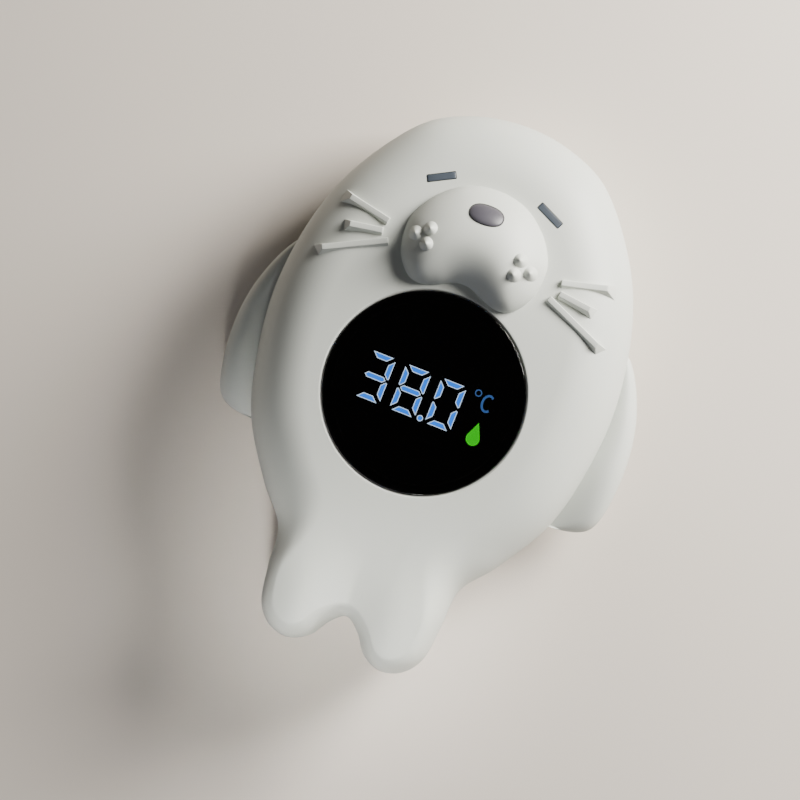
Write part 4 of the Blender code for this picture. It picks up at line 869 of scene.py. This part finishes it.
for name in [f"shell_screw_{number}" for number in range(1, 5)] + ["door_screw"]:
    low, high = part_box(name)
    base = Vector((*middle_of(name)[:2], low.z))
    head = [(0.02, 0), (1.2, 0), (1.6, 0.06), (1.85, 0.25), (1.98, 0.6), (2.0, 0.9), (2.0, 1.5), (0.9, 1.5)]
    shank = [(0.9, (high.z - low.z) / MM - 0.9), (0.45, (high.z - low.z) / MM), (0.02, (high.z - low.z) / MM)]
    screw = turned(name + "_cross_head", base, head + shank, STEEL)
    cross = []
    for half in ((1.1, 0.25), (0.25, 1.1)):
        blade = np.array([(1, 1), (-1, 1), (-1, -1), (1, -1)]) * half * MM + np.array(base)[:2]
        tip = (blade - np.array(base)[:2]) * 0.7 + np.array(base)[:2]
        cross.append(skin("cross_blade", [level(blade, base.z - 0.3 * MM), level(tip, base.z + 0.8 * MM)]))
    carved(screw, cross, 35)
    belongs(screw, "stainless_steel", name)

probe_low, probe_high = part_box("temperature_probe")
tall = (probe_high.z - probe_low.z) / MM
cap = [(0.02, 0), (1.1, 0.02), (1.5, 0.12), (1.85, 0.38), (2.1, 0.8), (2.2, 1.3), (2.2, tall), (0.02, tall)]
probe = turned("probe_cap", (*middle_of("temperature_probe")[:2], probe_low.z), cap, STEEL)
belongs(probe, "stainless_steel", "temperature_probe")
for name in ("left_water_contact", "right_water_contact"):
    low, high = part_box(name)
    tall = (high.z - low.z) / MM
    pin = [(0.02, 0), (0.9, 0.03), (1.35, 0.14), (1.55, 0.3), (1.6, 0.42), (1.6, 0.6), (0.8, 0.6)]
    pin += [(0.8, tall), (0.02, tall)]
    belongs(turned(name + "_pin", (*middle_of(name)[:2], low.z), pin, STEEL), "stainless_steel", name)

# Inner pieces
# The seals, the display's housing, the board, the cells and their contacts are hidden in use. They
# keep their solids and take the finish of the real material.
def plain_stuff(name, dark, light, tone_size, low, high, grain_size, relief, **values):
    """A moulded, cast or coated material: drifting tone, and a grain in its gloss and relief."""
    made, tree, shader, places = surface(name, **values)
    toned(tree, shader.inputs["Base Color"], noise(tree, places, tone_size), dark, light)
    grain = noise(tree, places, grain_size, 3.0)
    glossed(tree, shader, grain, low, high)
    bumped(tree, shader, grain, relief, 0.6)
    return made


FINISHES = {
    # Moulded silicone: a milky grey with a soft sheen.
    "silicone_seal": plain_stuff(
        "translucent_grey_silicone", "B2B5B2", "BEC1BE", 5 * MM, 0.5, 0.65, 0.4 * MM, 0.01 * MM),
    # Foam tape: dull black, with the pits of its cells.
    "black_gasket": plain_stuff(
        "closed_cell_foam_tape", "151516", "232324", 0.6 * MM, 0.85, 0.98, 0.35 * MM, 0.06 * MM),
    # Moulded black plastic with a fine eroded grain.
    "display_housing": plain_stuff(
        "black_moulded_reflector", "111113", "19191B", 6 * MM, 0.45, 0.6, 0.3 * MM, 0.01 * MM),
    # Filled epoxy: nearly black, dull and gritty.
    "chip_resin": plain_stuff(
        "black_epoxy_moulding", "161618", "1F1F21", 1 * MM, 0.55, 0.7, 0.12 * MM, 0.01 * MM),
    # Shrunk film: smooth slate grey with faint ripples.
    "cell_jacket": plain_stuff(
        "shrink_sleeve", "39444C", "434F57", 9 * MM, 0.28, 0.4, 1.5 * MM, 0.015 * MM, IOR=1.53),
    # Dipped epoxy: a dark bead that looks wet.
    "thermistor_resin": plain_stuff(
        "dipped_epoxy_bead", "241D1A", "30282A", 0.8 * MM, 0.15, 0.3, 0.6 * MM, 0.01 * MM),
    "stainless_steel": STEEL,
    "nickel_plate": NICKEL,
}

# Green solder mask over copper: straight darker gaps between the tracks under a glossy coat.
BOARD, tree, shader, places = surface("green_solder_mask", Roughness=0.32, Coat_Weight=0.4)
spacing = {"Vector": places, "Scale": 1 / (1.6 * MM)}
tracks = node(tree, "ShaderNodeTexVoronoi", spacing, distance="MANHATTAN", feature="F1").outputs["Distance"]
limits = {"Value": tracks, "From Min": 0.35, "From Max": 0.6}
edges = node(tree, "ShaderNodeMapRange", limits).outputs["Result"]
toned(tree, shader.inputs["Base Color"], edges, "256B45", "174B30")
bumped(tree, shader, edges, 0.03 * MM, 0.6)
FINISHES["circuit_board"] = BOARD

shown = {
    "front_shell", "rear_shell", "left_eye", "right_eye", "nose", "display_lens", "display_film",
    "battery_door", "temperature_probe","left_water_contact", "right_water_contact", "door_screw",
    "shell_screw_1", "shell_screw_2", "shell_screw_3", "shell_screw_4",
}
for part in frame["record"]["subparts"]:
    if part["node"] not in shown:
        solid = frame["nodes"][part["node"]]
        solid.data.materials.clear()
        solid.data.materials.append(FINISHES[part["material_slot"]])
